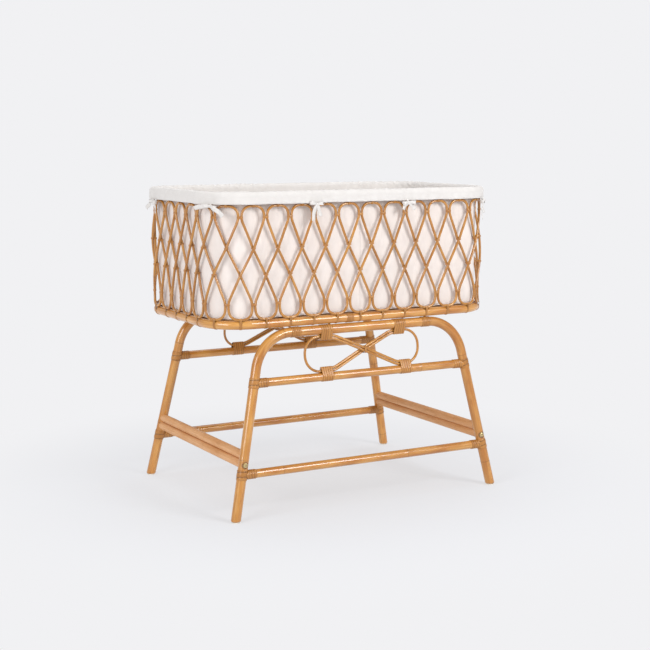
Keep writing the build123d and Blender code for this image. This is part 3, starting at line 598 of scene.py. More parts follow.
def attribute(tree: bpy.types.NodeTree, name: str) -> bpy.types.NodeSocket:
    """The grain's vector, or another attribute's number, at each point of the surface."""
    node = add_node(tree, "Attribute", attribute_name=name)
    return node.outputs["Vector" if name == "grain" else "Fac"]


def ranged(
    tree: bpy.types.NodeTree, value: bpy.types.NodeSocket, low: float, high: float,
    to_low: float, to_high: float,
) -> bpy.types.NodeSocket:
    """A value carried from one range to another, held at the ends."""
    node = add_node(
        tree, "MapRange", {0: value, 1: low, 2: high, 3: to_low, 4: to_high}, clamp=True
    )
    return node.outputs[0]


def mixed(
    tree: bpy.types.NodeTree, share: bpy.types.NodeSocket | float, first: object, second: object,
    blend: str = "MIX",
) -> bpy.types.NodeSocket:
    """Two colours mixed by a share."""
    node = add_node(
        tree, "Mix", {0: share, 6: first, 7: second}, data_type="RGBA", blend_type=blend
    )
    return node.outputs[2]


@dataclass(frozen=True)
class RattanFinish:
    """Rattan: long fibres that run the length of the pole, patches, a dark line at each joint, and
    painted shade between the turns of peel and round bolt recesses.

    grain_x runs along the pole; the other two axes are a point of its round section.
    """

    name: str
    pale: str
    honey: str
    fibre: str
    joint_and_shade: str
    joint_and_shade_share: float = 0.5
    fibre_width: float = 1.1 * MM
    fibre_length: float = 110 * MM
    fibre_share: float = 0.6
    roughness: float = 0.26
    coat: float = 0.75
    bump: float = 0.12 * MM

    def make(self) -> bpy.types.Material:
        """Builds the material."""
        material, tree = new_material(self.name)
        grain, mark_and_shade, tone = (attribute(tree, name) for name in ("grain", "mark_and_shade", "tone"))
        across = (self.fibre_length, self.fibre_width, self.fibre_width)
        fibres = stretched_noise(tree, grain, across, 3.0)
        patches = stretched_noise(tree, grain, (70 * MM, 16 * MM, 16 * MM), 2.0)
        colour = mixed(
            tree, ranged(tree, patches, 0.35, 0.65, 0, 1), linear(self.pale), linear(self.honey)
        )
        stains = stretched_noise(tree, grain, (45 * MM, 9 * MM, 9 * MM), 3.0)
        dark = ranged(tree, stains, 0.56, 0.74, 0, 0.5)
        colour = mixed(tree, dark, colour, linear(self.fibre))
        dark = ranged(tree, fibres, 0.42, 0.72, 0, self.fibre_share)
        colour = mixed(tree, dark, colour, linear(self.fibre))
        colour = mixed(tree, ranged(tree, tone, -1, 1, 0, 0.3), colour, linear(self.fibre))
        # dark growth-joint lines, and painted shade between the turns of peel and round bolt recesses
        dark = ranged(tree, mark_and_shade, 0, 1.6, 0, 1.6 * self.joint_and_shade_share)
        colour = mixed(tree, dark, colour, linear(self.joint_and_shade))
        rough = ranged(tree, fibres, 0.3, 0.7, self.roughness - 0.06, self.roughness + 0.1)
        bump = add_node(
            tree, "Bump", {"Height": fibres, "Distance": self.bump, "Strength": 0.6}
        ).outputs[0]
        coat = {"IOR": 1.5, "Coat Weight": self.coat, "Coat Roughness": 0.1}
        add_surface(tree, colour, rough, bump, coat)
        return material


@dataclass(frozen=True)
class CottonFinish:
    """Plain-woven cotton: two sets of threads at right angles, with soft creases; painted shade lies
    in the creases' hollows, between the threads and along seams.

    grain_x and grain_y follow the cloth's two thread directions.
    """

    name: str
    colour: str
    shade: str
    thread: float = 1.4 * MM  # a real thread is 0.4 mm; drawn coarser so that the weave shows
    crease: float = 22 * MM
    crease_height: float = 1.2 * MM
    sheen: float = 0.25
    roughness: float = 0.86

    def make(self) -> bpy.types.Material:
        """Builds the material."""
        material, tree = new_material(self.name)
        grain, mark_and_shade = (attribute(tree, name) for name in ("grain", "mark_and_shade"))
        scale = 2 * math.pi / 20 / self.thread  # a wave texture turns 20 radians a unit
        threads = [
            add_node(
                tree, "TexWave", {"Vector": grain, "Scale": scale}, bands_direction=axis
            ).outputs["Fac"]
            for axis in ("X", "Y")
        ]
        weave = add_node(tree, "Math", {0: threads[0], 1: threads[1]}, operation="ADD").outputs[0]
        size = (self.crease, 1.6 * self.crease, self.crease)
        creases = stretched_noise(tree, grain, size, 3.0)
        # painted shade in the creases' hollows, where the crease bump is low
        share = ranged(tree, creases, 0.3, 0.7, 0.25, 0.0)
        colour = mixed(tree, share, linear(self.colour), linear(self.shade))
        # painted shade between the threads, where the weave bump is low
        colour = mixed(tree, ranged(tree, weave, 0, 2, 0.14, 0), colour, linear(self.shade))
        # painted shade from the per-point darkening, set only along the mattress's quilting seams
        colour = mixed(tree, ranged(tree, mark_and_shade, 0, 1, 0, 0.6), colour, linear(self.shade))
        soft = add_node(
            tree, "Bump", {"Height": creases, "Distance": self.crease_height, "Strength": 0.8}
        )
        fine = add_node(
            tree,
            "Bump",
            {"Height": weave, "Distance": 0.06 * MM, "Strength": 0.5, "Normal": soft.outputs[0]},
        )
        sheen = {"IOR": 1.45, "Sheen Weight": self.sheen}
        add_surface(tree, colour, self.roughness, fine.outputs[0], sheen)
        return material


@dataclass(frozen=True)
class TimberFinish:
    """Planed timber or plywood face, read in the model's own space: fibres run along one axis."""

    name: str
    pale: str
    dark: str
    fibre_size: tuple[float, float, float]
    roughness: float = 0.62

    def make(self) -> bpy.types.Material:
        """Builds the material."""
        material, tree = new_material(self.name)
        place = add_node(tree, "TexCoord").outputs["Object"]
        fibres = stretched_noise(tree, place, self.fibre_size, 4.0)
        broad = stretched_noise(tree, place, tuple(6 * size for size in self.fibre_size), 2.0)
        colour = mixed(
            tree, ranged(tree, broad, 0.3, 0.7, 0, 1), linear(self.pale), linear(self.dark)
        )
        share = ranged(tree, fibres, 0.5, 0.75, 0, 0.5)
        colour = mixed(tree, share, colour, linear(self.dark), "MULTIPLY")
        bump = add_node(tree, "Bump", {"Height": fibres, "Distance": 0.1 * MM, "Strength": 0.5})
        add_surface(tree, colour, self.roughness, bump.outputs[0], {"IOR": 1.5})
        return material


@dataclass(frozen=True)
class MouldedFinish:
    """Zinc-plated steel or moulded nylon: an even body with fine unevenness from its making."""

    name: str
    colour: str
    worn: str
    metallic: float
    roughness: float
    mottle: float

    def make(self) -> bpy.types.Material:
        """Builds the material."""
        material, tree = new_material(self.name)
        place = add_node(tree, "TexCoord").outputs["Object"]
        mottle = stretched_noise(tree, place, (self.mottle,) * 3, 3.0)
        colour = mixed(
            tree, ranged(tree, mottle, 0.35, 0.65, 0, 1), linear(self.colour), linear(self.worn)
        )
        rough = ranged(tree, mottle, 0.3, 0.7, self.roughness - 0.05, self.roughness + 0.08)
        bump = add_node(tree, "Bump", {"Height": mottle, "Distance": 0.03 * MM, "Strength": 0.5})
        add_surface(tree, colour, rough, bump.outputs[0], {"Metallic": self.metallic})
        return material


class Finishes:
    """Every finish of the object, made once and kept by the record's slot name."""

    def __init__(self) -> None:
        """Builds the materials."""
        finishes = {
            # whole rattan with its skin on, sanded and lacquered: warm, streaky, softly glossy
            "rattan_pole": RattanFinish(
                "lacquered rattan pole", "#e3a858", "#c88334", "#8b5118", "#54290d"
            ),
            # thin cane bent by steam: a little redder, with tighter streaks
            "rattan_cane": RattanFinish(
                "lacquered rattan cane", "#cb9142", "#b4762a", "#865218", "#5c3411",
                fibre_width=0.8 * MM, fibre_share=0.5,
            ),
            # split peel, flat and fibrous, wound wet: duller, with painted shade between the turns
            "rattan_peel": RattanFinish(
                "rattan peel binding", "#cd914a", "#b87a35", "#8d5a23", "#412309",
                joint_and_shade_share=0.95, fibre_width=0.6 * MM, roughness=0.42, coat=0.2,
            ),
            # core rattan without skin: pinker and matt, with coarse pores
            "stretcher_rattan": RattanFinish(
                "core rattan rod", "#e4b07e", "#d79d66", "#b67d48", "#7d4a20",
                joint_and_shade_share=0.35, fibre_width=1.6 * MM, fibre_share=0.5, roughness=0.5, coat=0.05,
            ),
            # sawn and planed meranti: plain straight grain, no polish
            "batten_wood": TimberFinish(
                "planed batten timber", "#c79c6c", "#8f6138", (6 * MM, 90 * MM, 2 * MM)
            ),
            # rotary-cut birch veneer: pale, broad figure along the board
            "plywood": TimberFinish(
                "birch plywood", "#dcbf92", "#b58e5c", (160 * MM, 5 * MM, 3 * MM)
            ),
            # turned beech dowel: fine, pale and even
            "dowel_wood": TimberFinish(
                "beech dowel", "#d8b185", "#b07f4e", (40 * MM, 1.5 * MM, 1.5 * MM)
            ),
            # zinc-plated steel: pale straw-coloured plating, dull and a little mottled
            "zinc_steel": MouldedFinish(
                "zinc-plated steel", "#e6d6ab", "#bfa977", 1.0, 0.38, 2 * MM
            ),
            # moulded nylon: translucent milky plastic, scuffed underneath
            "nylon": MouldedFinish("moulded nylon", "#ebe7dd", "#d2cbbd", 0.0, 0.5, 3 * MM),
            # washed cotton percale: matt white with soft vertical creases
            "liner_cotton": CottonFinish("cotton liner cloth", "#ede5e0", "#cfc4bc"),
            # heavier cotton over wadding: the brightest white, small puckers
            "band_cotton": CottonFinish(
                "padded cotton band", "#dddad7", "#bfb8b3", crease=18 * MM, crease_height=0.6 * MM
            ),
            # cotton tape: tight weave, slightly glossy
            "ribbon_cotton": CottonFinish(
                "cotton tape", "#dedbd8", "#c0bab4", thread=0.9 * MM, crease=9 * MM,
                crease_height=0.3 * MM, sheen=0.4,
            ),
            # quilted cotton cover over foam: soft white
            "mattress_cover": CottonFinish(
                "quilted cotton cover", "#f3f0ec", "#d8d2cb", thread=1.8 * MM, crease=30 * MM
            ),
        }
        self.made = {slot: finish.make() for slot, finish in finishes.items()}

    def __getitem__(self, slot: str) -> bpy.types.Material:
        """The material of a slot."""
        return self.made[slot]

    def dress(
        self, shell: Shell, node: str, slot: str, body: Body, name: str = ""
    ) -> bpy.types.Object:
        """Makes a shell the piece that stands for a CAD node, under its own name if one is given."""
        return shell.piece(name or f"{node}_finished", self[slot], body, slot, [node])


# ---------------------------------------------------------------- places read from the frame


def centre_of(node: str) -> Array:
    """Middle of a node's box."""
    low, high = (np.array(corner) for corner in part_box(node))
    return (low + high) / 2


def size_of(node: str) -> Array:
    """Size of a node's box."""
    low, high = (np.array(corner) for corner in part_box(node))
    return high - low


@dataclass
class StandPlan:
    """Axes of the stand's poles, in the front frame."""

    bend_r: float = 105 * MM
    foot_rise: float = 3 * MM  # top of the glides
    glide_r: float = 10.5 * MM
    seat_r: float = 6.7 * MM
    bolt_stack: float = 4.4 * MM  # bolt head and washer
    top: Array = field(init=False)
    pole_r: float = field(init=False)
    rail_r: float = field(init=False)
    splice_x: float = field(init=False)
    middle_z: float = field(init=False)
    lower_z: float = field(init=False)
    foot_x: float = field(init=False)
    splay: float = field(init=False)
    lean: float = field(init=False)
    out: Array = field(init=False)

    def __post_init__(self) -> None:
        """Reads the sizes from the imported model."""
        self.top = centre_of("front_top_rail")
        self.pole_r = size_of("front_top_rail")[2] / 2
        self.rail_r = size_of("front_lower_rail")[2] / 2
        self.splice_x = size_of("front_top_rail")[0] / 2
        self.middle_z = centre_of("front_middle_rail")[2]
        self.lower_z = centre_of("front_lower_rail")[2]
        self.foot_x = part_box("foot_glides")[1][0] - self.glide_r
        rod = centre_of("right_lower_stretcher")
        self.splay = (self.foot_x - rod[0]) / (rod[2] - self.foot_rise)
        lower = centre_of("front_lower_rail")
        self.lean = (self.top[1] - lower[1]) / (self.top[2] - lower[2])
        self.out = unit(np.array([0.0, -1.0, self.lean]))

    def leg_x(self, z: float) -> float:
        """X of the right leg's axis at a height."""
        return self.foot_x - (z - self.foot_rise) * self.splay

    def point(self, x: float, z: float, out: float = 0.0) -> Array:
        """Point on the front frame's plane, or out from it."""
        y = self.top[1] + (z - self.top[2]) * self.lean
        return np.array([x, y, z]) + self.out * out

    def leg_line(self, side: int) -> tuple[Array, Array]:
        """A point on a leg's axis and the axis's upward direction."""
        low = self.point(side * self.leg_x(self.foot_rise), self.foot_rise)
        high = self.point(side * self.leg_x(self.top[2]), self.top[2])
        return low, unit(high - low)

    def on_leg(self, side: int, z: float) -> Array:
        """Point on a leg's axis at a height."""
        return self.point(side * self.leg_x(z), z)

    def bolt_seat(self, side: int) -> Seat:
        """Recess under the head of a front leg's stretcher bolt."""
        low, high = (np.array(corner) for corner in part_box("stretcher_bolts"))
        at = self.on_leg(side, float(low[2] + high[2]) / 2)
        floor = float(low[1]) + self.bolt_stack
        return Seat(np.array([at[0], floor, at[2]]), np.array([0.0, -1.0, 0.0]), self.seat_r)


@dataclass
class Wall:
    """The lattice's surface, an upright rounded rectangle.

    s runs along the girth from the middle of the front, to the right first: straight, quarter turn,
    straight, quarter turn, straight, and the same again turned half round.
    """

    cane_outset: float = 8 * MM
    loops: int = 36
    loop_shift: float = -8.6 * MM
    corner_r: float = 104 * MM
    ring_r: float = field(init=False)
    ring_z: float = field(init=False)
    half_x: float = field(init=False)
    half_y: float = field(init=False)
    straight_x: float = field(init=False)
    straight_y: float = field(init=False)
    quarter: float = field(init=False)
    girth: float = field(init=False)
    pitch: float = field(init=False)

    def __post_init__(self) -> None:
        """Reads the sizes from the bottom ring."""
        size = size_of("bottom_ring")
        self.ring_r = size[2] / 2
        self.ring_z = float(centre_of("bottom_ring")[2])
        self.half_x = size[0] / 2 - self.ring_r + self.cane_outset
        self.half_y = size[1] / 2 - self.ring_r + self.cane_outset
        self.straight_x = 2 * (self.half_x - self.corner_r)
        self.straight_y = 2 * (self.half_y - self.corner_r)
        self.quarter = self.corner_r * math.pi / 2
        self.girth = 2 * self.straight_x + 2 * self.straight_y + 4 * self.quarter
        self.pitch = self.girth / self.loops

    def loop_s(self, steps: float) -> float:
        """Place along the girth, that many loops from the first strand contact."""
        return self.loop_shift + steps * self.pitch

    def outward(self, s: Array) -> Array:
        """Unit normals of the surface."""
        return self._base(np.asarray(s, float))[1]

    def along(self, s: Array) -> Array:
        """Unit vectors along the girth."""
        return np.cross(UP, self.outward(s))

    def _base(self, s: Array) -> tuple[Array, Array]:
        """Arc centres or straight feet, and normals."""
        s = s % self.girth
        half = self.girth / 2
        turned = np.where(s >= half, -1.0, 1.0)
        s = np.where(s >= half, s - half, s)
        cx, cy = self.half_x - self.corner_r, self.half_y - self.corner_r
        a = self.straight_x / 2
        b = a + self.quarter
        c = b + self.straight_y
        d = c + self.quarter
        zones = [s < a, s < b, s < c, s < d]
        quarter_turn = np.pi / 2
        angle = np.select(
            zones,
            [-quarter_turn + 0 * s, -quarter_turn + (s - a) / self.corner_r, 0 * s,
             (s - c) / self.corner_r],
            quarter_turn,
        )
        x = np.select(zones, [s, cx + 0 * s, cx + 0 * s, cx + 0 * s], half - s)
        y = np.select(zones, [-cy + 0 * s, -cy + 0 * s, -cy + s - b, cy + 0 * s], cy)
        normal = np.stack([np.cos(angle), np.sin(angle), 0 * s], axis=-1) * turned[..., None]
        return np.stack([x, y, 0 * s], axis=-1) * turned[..., None], normal

    def at(self, s: Array, z: Array | float = 0.0, out: Array | float = 0.0) -> Array:
        """Points of the surface, or out from it: centre + (corner radius + out) * normal + z up."""
        s = np.asarray(s, float)
        z, out = np.broadcast_to(z, s.shape), np.broadcast_to(out, s.shape)
        base, normal = self._base(s)
        return base + normal * (self.corner_r + out)[..., None] + UP * z[..., None]

    def out_of(self, points: Array) -> Array:
        """How far points lie out from the surface.

        With q = |point| - (half size - corner radius) on each axis, it is the length of q's positive
        part, plus the larger q where both are negative, less the corner radius.
        """
        straight = np.array([self.half_x, self.half_y]) - self.corner_r
        beyond = np.abs(points[..., :2]) - straight
        round_part = np.linalg.norm(np.maximum(beyond, 0), axis=-1)
        return round_part + np.minimum(beyond.max(axis=-1), 0) - self.corner_r


# ---------------------------------------------------------------- stand


@dataclass
class StandFrame:
    """One end-to-end frame: two bent legs, three rails, bindings and the figure-eight ornament."""

    plan: StandPlan
    finishes: Finishes
    side: FrameSide
    fit: float = 0.1 * MM
    peel: float = 1.1 * MM
    splice_w: float = 26 * MM
    rail_binding_w: float = 24 * MM
    leg_band_h: float = 25 * MM
    joint_spacing: float = 330 * MM
    seed: int = 100

    def build(self) -> None:
        """Makes every piece of the frame."""
        if self.side is FrameSide.BACK:
            self.seed += 500
        for right in (False, True):
            self._leg(right)
        self._top_rail()
        self._rail("middle_rail", self.plan.middle_z, 3)
        self._rail("lower_rail", self.plan.lower_z, 4)
        self._splice_bindings()
        self._rail_bindings()
        self._leg_bands()

    def finish(self, shell: Shell, name: str, slot: str) -> None:
        """Turns a shell to this frame's side and makes it the piece that stands for its node."""
        shell.points = [self.side.turn(points) for points in shell.points]
        self.finishes.dress(shell, name, slot, Body.STAND)

    def _leg(self, right: bool) -> None:
        """A leg: foot cut level, one bend under the top rail, and a short run to the splice."""
        plan, sign = self.plan, 1 if right else -1
        corners = [
            plan.on_leg(sign, plan.foot_rise),
            plan.on_leg(sign, plan.top[2]),
            plan.point(sign * (plan.splice_x + self.fit), plan.top[2]),
        ]
        shell = Shell()
        path = rounded_path(corners, [plan.bend_r])
        path = at_lengths(path, np.linspace(0, lengths_along(path)[-1], 600))
        Rod(
            path, plan.pole_r, plan.out, self.seed + right, around=72,
            joint_spacing=self.joint_spacing, start=level_at(plan.foot_rise),
            ease=3 * MM, seats=[plan.bolt_seat(sign)],
        ).add_to(shell)
        self.finish(shell, self.side.leg_name(right), "rattan_pole")

    def _top_rail(self) -> None:
        """The straight pole between the splices."""
        plan, shell = self.plan, Shell()
        ends = np.array([plan.point(sign * plan.splice_x, plan.top[2]) for sign in (-1, 1)])
        Rod(
            ends, plan.pole_r, plan.out, self.seed + 2, around=32,
            joint_spacing=self.joint_spacing,
        ).add_to(shell)
        self.finish(shell, f"{self.side.value}_top_rail", "rattan_pole")

    def _cope(self, sign: int, extra: float) -> EndCut:
        """Cut that seats a rail's end on a leg."""
        point, direction = self.plan.leg_line(sign)
        return cope_to(point, direction, self.plan.pole_r + extra)

    def _rail(self, name: str, z: float, number: int) -> None:
        """A rail with both ends hollowed to the legs."""
        plan, shell = self.plan, Shell()
        ends = np.array([plan.on_leg(-1, z), plan.on_leg(1, z)])
        Rod(
            ends, plan.rail_r, plan.out, self.seed + number, around=28,
            joint_spacing=self.joint_spacing, start=self._cope(-1, self.fit),
            end=self._cope(1, self.fit),
        ).add_to(shell)
        self.finish(shell, f"{self.side.value}_{name}", "rattan_pole")

    def _splice_bindings(self) -> None:
        """Peel over both butt joints of the top rail."""
        plan, shell = self.plan, Shell()
        for sign in (-1, 1):
            Wrap(
                plan.point(sign * plan.splice_x, plan.top[2]), plan.out,
                np.array([1.0, 0.0, 0.0]), [(0, 0, plan.pole_r + self.fit)],
                -self.splice_w / 2, self.splice_w / 2, 5, self.seed + 10 + sign,
            ).add_to(shell)
        self.finish(shell, f"{self.side.value}_splice_bindings", "rattan_peel")

    def _rail_bindings(self) -> None:
        """Peel round each rail's ends, beside the legs."""
        plan, shell = self.plan, Shell()
        for number, z in enumerate((plan.lower_z, plan.middle_z)):
            for sign in (-1, 1):
                end = plan.on_leg(sign, z)
                inward = np.array([-sign, 0.0, 0.0])
                across = plan.out
                up = np.cross(inward, across)
                angle = np.linspace(0, 2 * np.pi, 40, endpoint=False)[:, None]
                ring = end + (plan.rail_r + self.peel) * (np.cos(angle) * across + np.sin(angle) * up)
                near = -self._cope(sign, 2 * self.fit + self.peel)(ring, -inward)
                Wrap(
                    end, across, inward, [(0, 0, plan.rail_r + self.fit)], near,
                    plan.pole_r + self.rail_binding_w, 4, self.seed + 20 + number * 2 + sign,
                ).add_to(shell)
        self.finish(shell, f"{self.side.value}_rail_bindings", "rattan_peel")

    def _leg_bands(self) -> None:
        """Wider peel round the legs over the rail joints."""
        plan, shell = self.plan, Shell()
        for number, z in enumerate((plan.lower_z, plan.middle_z)):
            for sign in (-1, 1):
                _, direction = plan.leg_line(sign)
                Wrap(
                    plan.on_leg(sign, z), np.cross(direction, plan.out), direction,
                    [(0, 0, plan.pole_r + self.fit)], -self.leg_band_h / 2, self.leg_band_h / 2,
                    2, self.seed + 30 + number * 2 + sign,
                ).add_to(shell)
        self.finish(shell, f"{self.side.value}_leg_bands", "rattan_peel")


@dataclass
class FigureEight:
    """Ornament of two bent canes between the top and middle rails, tied at five places.

    Each cane runs in beside a rail, down a diagonal, round its own loop and up the other diagonal, so
    both diagonals are double.
    """

    frame: StandFrame
    cane_r: float = 3.35 * MM
    top_x: tuple[float, float] = (-107 * MM, 111 * MM)
    low_x: tuple[float, float] = (-109 * MM, 127 * MM)
    loop_x: tuple[float, float] = (-169 * MM, 170 * MM)
    loop_r: float = 42 * MM
    bend_r: float = 40 * MM
    layer: float = 4 * MM
    gap: float = 0.15 * MM
    binding_w: float = 33 * MM
    cross_w: float = 5 * MM

    def build(self) -> None:
        """Makes the canes, their bindings and the tie at the crossing."""
        for left in (True, False):
            self._cane(left)
        self._bindings()
        self._cross_tie()

    def _heights(self) -> tuple[float, float, float, float]:
        """Heights of the canes at the bindings: at the top the near and far one, then below."""
        plan = self.frame.plan
        upright = 1 / math.hypot(1, plan.lean)
        step = 2 * (self.cane_r + self.gap) * upright
        top = plan.top[2] - (plan.pole_r + self.frame.fit + self.cane_r) * upright
        low = plan.middle_z + (plan.rail_r + self.frame.fit + self.cane_r) * upright
        return top, top - step, low, low + step

    def _reach(self) -> float:
        """From a binding's middle to the corner of the bend that starts at the binding's edge."""
        top_a, top_b, low_a, low_b = self._heights()
        span = (self.low_x[1] - self.top_x[0] + self.top_x[1] - self.low_x[0]) / 2
        turn = math.atan2((top_a + top_b - low_a - low_b) / 2, span - self.binding_w)
        return self.binding_w / 2 + self.bend_r * math.tan(turn / 2)

    def _diagonals(self) -> tuple[Array, Array]:
        """Ends (x, z) of the middle lines of the falling and the rising pair."""
        top_a, top_b, low_a, low_b = self._heights()
        top_z, low_z = (top_a + top_b) / 2, (low_a + low_b) / 2
        reach = self._reach()
        falling = np.array([[self.top_x[0] + reach, top_z], [self.low_x[1] - reach, low_z]])
        rising = np.array([[self.top_x[1] - reach, top_z], [self.low_x[0] + reach, low_z]])
        return falling, rising

    def crossing(self) -> Array:
        """Point (x, z) where the two pairs cross."""
        falling, rising = self._diagonals()
        span = falling[1, 0] - falling[0, 0] + rising[0, 0] - rising[1, 0]
        return falling[0] + (rising[0, 0] - falling[0, 0]) / span * (falling[1] - falling[0])

    def _side_step(self, falling: bool) -> Array:
        """Unit step (x, z), upwards and square to a diagonal pair."""
        ends = self._diagonals()[0 if falling else 1]
        run, drop = ends[1] - ends[0]
        across = np.array([-drop, run]) * np.sign(run)
        return across / np.linalg.norm(across)

    def _cane(self, left: bool) -> None:
        """One of the two canes."""
        plan = self.frame.plan
        top_a, top_b, low_a, low_b = self._heights()
        side = 1 if left else -1
        near_top, far_top = self.top_x if left else self.top_x[::-1]
        near_low, far_low = self.low_x if left else self.low_x[::-1]
        loop_x, far_loop_x = self.loop_x if left else self.loop_x[::-1]
        reach = side * self._reach()
        free_run = abs(far_loop_x) - self.loop_r - self.frame.fit
        top_end = side * min(abs(far_top) + self.binding_w / 2, free_run)
        low_end = side * min(abs(far_low) + self.binding_w / 2, free_run)
        half = self.cane_r + self.gap
        middle = self.crossing()

        def shifted(falling: bool) -> float:
            """How far a bend moves along when its cane lies beside the other one of a pair."""
            step = self._side_step(falling)
            return side * 2 * half * math.tan(math.atan2(abs(step[0]), step[1]) / 2)

        def over(falling: bool, above: bool) -> Array:
            """Point of a cane at the crossing."""
            place = middle + self._side_step(falling) * (half if above else -half)
            return plan.point(place[0], place[1], self.layer if falling else -self.layer)

        points = [
            plan.point(top_end, top_b),
            plan.point(far_top - reach + shifted(not left), top_b),
            over(falling=not left, above=False),
            plan.point(near_low + reach, low_a),
            plan.point(loop_x, low_a),
            plan.point(loop_x, top_a),
            plan.point(near_top + reach, top_a),
            over(falling=left, above=True),
            plan.point(far_low - reach + shifted(left), low_b),
            plan.point(low_end, low_b),
        ]
        bend = self.bend_r
        radii = [bend, 2 * bend, bend, self.loop_r, self.loop_r, bend, 2 * bend, bend]
        shell = Shell()
        path = softened(rounded_path(points, radii), 3 * MM)
        Rod(
            path, self.cane_r, plan.out, self.frame.seed + 40 + left, around=16, step=5 * MM,
            joint_spacing=180 * MM, swell=0.2 * MM,
        ).add_to(shell)
        name = "left" if left else "right"
        self.frame.finish(shell, f"{self.frame.side.value}_eight_{name}_cane", "rattan_cane")

    def _bindings(self) -> None:
        """Peel round a rail and the two canes beside it, at four places."""
        plan, shell = self.frame.plan, Shell()
        along = np.array([-1.0, 0.0, 0.0])
        fit = self.frame.fit
        far = fit + 3 * self.cane_r + 2 * self.gap
        places = [(x, plan.top[2], plan.pole_r, -1) for x in self.top_x]
        places += [(x, plan.middle_z, plan.rail_r, 1) for x in self.low_x]
        for number, (x, z, rail_r, sign) in enumerate(places):
            rods = [(0, 0, rail_r + fit), (0, sign * (rail_r + far), self.cane_r + fit)]
            Wrap(
                plan.point(x, z), plan.out, along, rods, -self.binding_w / 2,
                self.binding_w / 2, 5, self.frame.seed + 50 + number, around=56,
            ).add_to(shell)
        name = f"{self.frame.side.value}_eight_bindings"
        self.frame.finish(shell, name, "rattan_peel")

    def _cross_tie(self) -> None:
        """Small tie round both pairs where they cross."""
        plan, shell = self.frame.plan, Shell()
        x, z = self.crossing()
        step = self._side_step(True)
        slope = abs(step[0] / step[1])
        up = (2 * self.cane_r + self.gap) / step[1] + slope * self.cross_w / 2 - self.cane_r
        out, corner = self.layer + self.frame.fit, self.cane_r + self.frame.fit
        rods = [(a * out, b * up, corner) for a in (-1, 1) for b in (-1, 1)]
        Wrap(
            plan.point(x, z), plan.out, np.array([-1.0, 0.0, 0.0]), rods, -self.cross_w / 2,
            self.cross_w / 2, 2, self.frame.seed + 60, around=32,
        ).add_to(shell)
        name = f"{self.frame.side.value}_eight_cross_wrap"
        self.frame.finish(shell, name, "rattan_peel")


@dataclass
class Stretchers:
    """Two rods on each side, one on the other, that join the front frame to the back frame."""

    plan: StandPlan
    finishes: Finishes
    fit: float = 0.1 * MM

    def build(self) -> None:
        """Makes the four rods."""
        plan = self.plan
        for side, name in ((-1, "left"), (1, "right")):
            for level in ("lower", "upper"):
                node = f"{name}_{level}_stretcher"
                middle = centre_of(node)
                front = plan.on_leg(side, float(middle[2]))
                mirror = np.array([1.0, -1.0, 1.0])
                back = front * mirror
                point, direction = plan.leg_line(side)
                shell = Shell()
                Rod(
                    np.array([front, back]), size_of(node)[2] / 2, UP, 200 + len(node) + side,
                    around=28, joint_spacing=260 * MM,
                    start=cope_to(point, direction, plan.pole_r + self.fit),
                    end=cope_to(point * mirror, direction * mirror, plan.pole_r + self.fit),
                ).add_to(shell)
                self.finishes.dress(shell, node, "stretcher_rattan", Body.STAND)


@dataclass
class Hardware:
    """CAD nodes whose shapes stay as they are, with a finish each."""

    finishes: Finishes
    slots: dict[str, str] = field(
        default_factory=lambda: {
            "front_splice_dowels": "dowel_wood",
            "back_splice_dowels": "dowel_wood",
            "stretcher_pins": "dowel_wood",
            "bottom_ring_pin": "dowel_wood",
            "rail_screws": "zinc_steel",
            "stretcher_bolts": "zinc_steel",
            "stretcher_washers": "zinc_steel",
            "stretcher_barrel_nuts": "zinc_steel",
            "base_screws": "zinc_steel",
            "foot_glides": "nylon",
            "base_battens": "batten_wood",
            "base_board": "plywood",
        }
    )

    def build(self) -> None:
        """Dresses the nodes through their objects' material slots."""
        for name, slot in self.slots.items():
            node = frame["nodes"][name]
            if not node.material_slots:
                node.data.materials.append(None)
            for holder in node.material_slots:
                holder.link = "OBJECT"
                holder.material = self.finishes[slot]
            LOG.info("%s: %s", name, slot)


# ---------------------------------------------------------------- basket


@dataclass
class Rings:
    """Bottom ring with its bound joint, and the thin ring inside the rim band."""

    wall: Wall
    finishes: Finishes
    splice_x: float = -38 * MM
    splice_w: float = 20 * MM
    fit: float = 0.1 * MM

    def build(self) -> None:
        """Makes both rings and the binding."""
        wall = self.wall
        self._ring("bottom_ring", -wall.cane_outset, wall.ring_r, 300 * MM, 301)
        top_r = size_of("top_ring")[2] / 2
        self._ring("top_ring", 0.0, top_r, 200 * MM, 302)
        origin = wall.at(np.array(self.splice_x), wall.ring_z, -wall.cane_outset)
        shell = Shell()
        Wrap(
            origin, -wall.outward(np.array(self.splice_x)), np.array([1.0, 0.0, 0.0]),
            [(0, 0, wall.ring_r + self.fit)], -self.splice_w / 2, self.splice_w / 2, 5, 303,
            wall=0.9 * MM,
        ).add_to(shell)
        self.finishes.dress(shell, "bottom_ring_binding", "rattan_peel", Body.BASKET)

    def _ring(self, node: str, out: float, radius: float, spacing: float, seed: int) -> None:
        """A closed ring that follows the wall."""
        wall, shell = self.wall, Shell()
        start = wall.girth / 2 - 90 * MM
        s = start + np.linspace(0, wall.girth, 1200)
        Rod(
            wall.at(s, float(centre_of(node)[2]), out), radius, UP, seed, around=28,
            step=6 * MM, joint_spacing=spacing, closed=True,
        ).add_to(shell)
        slot = "rattan_pole" if node == "bottom_ring" else "rattan_cane"
        self.finishes.dress(shell, node, slot, Body.BASKET)


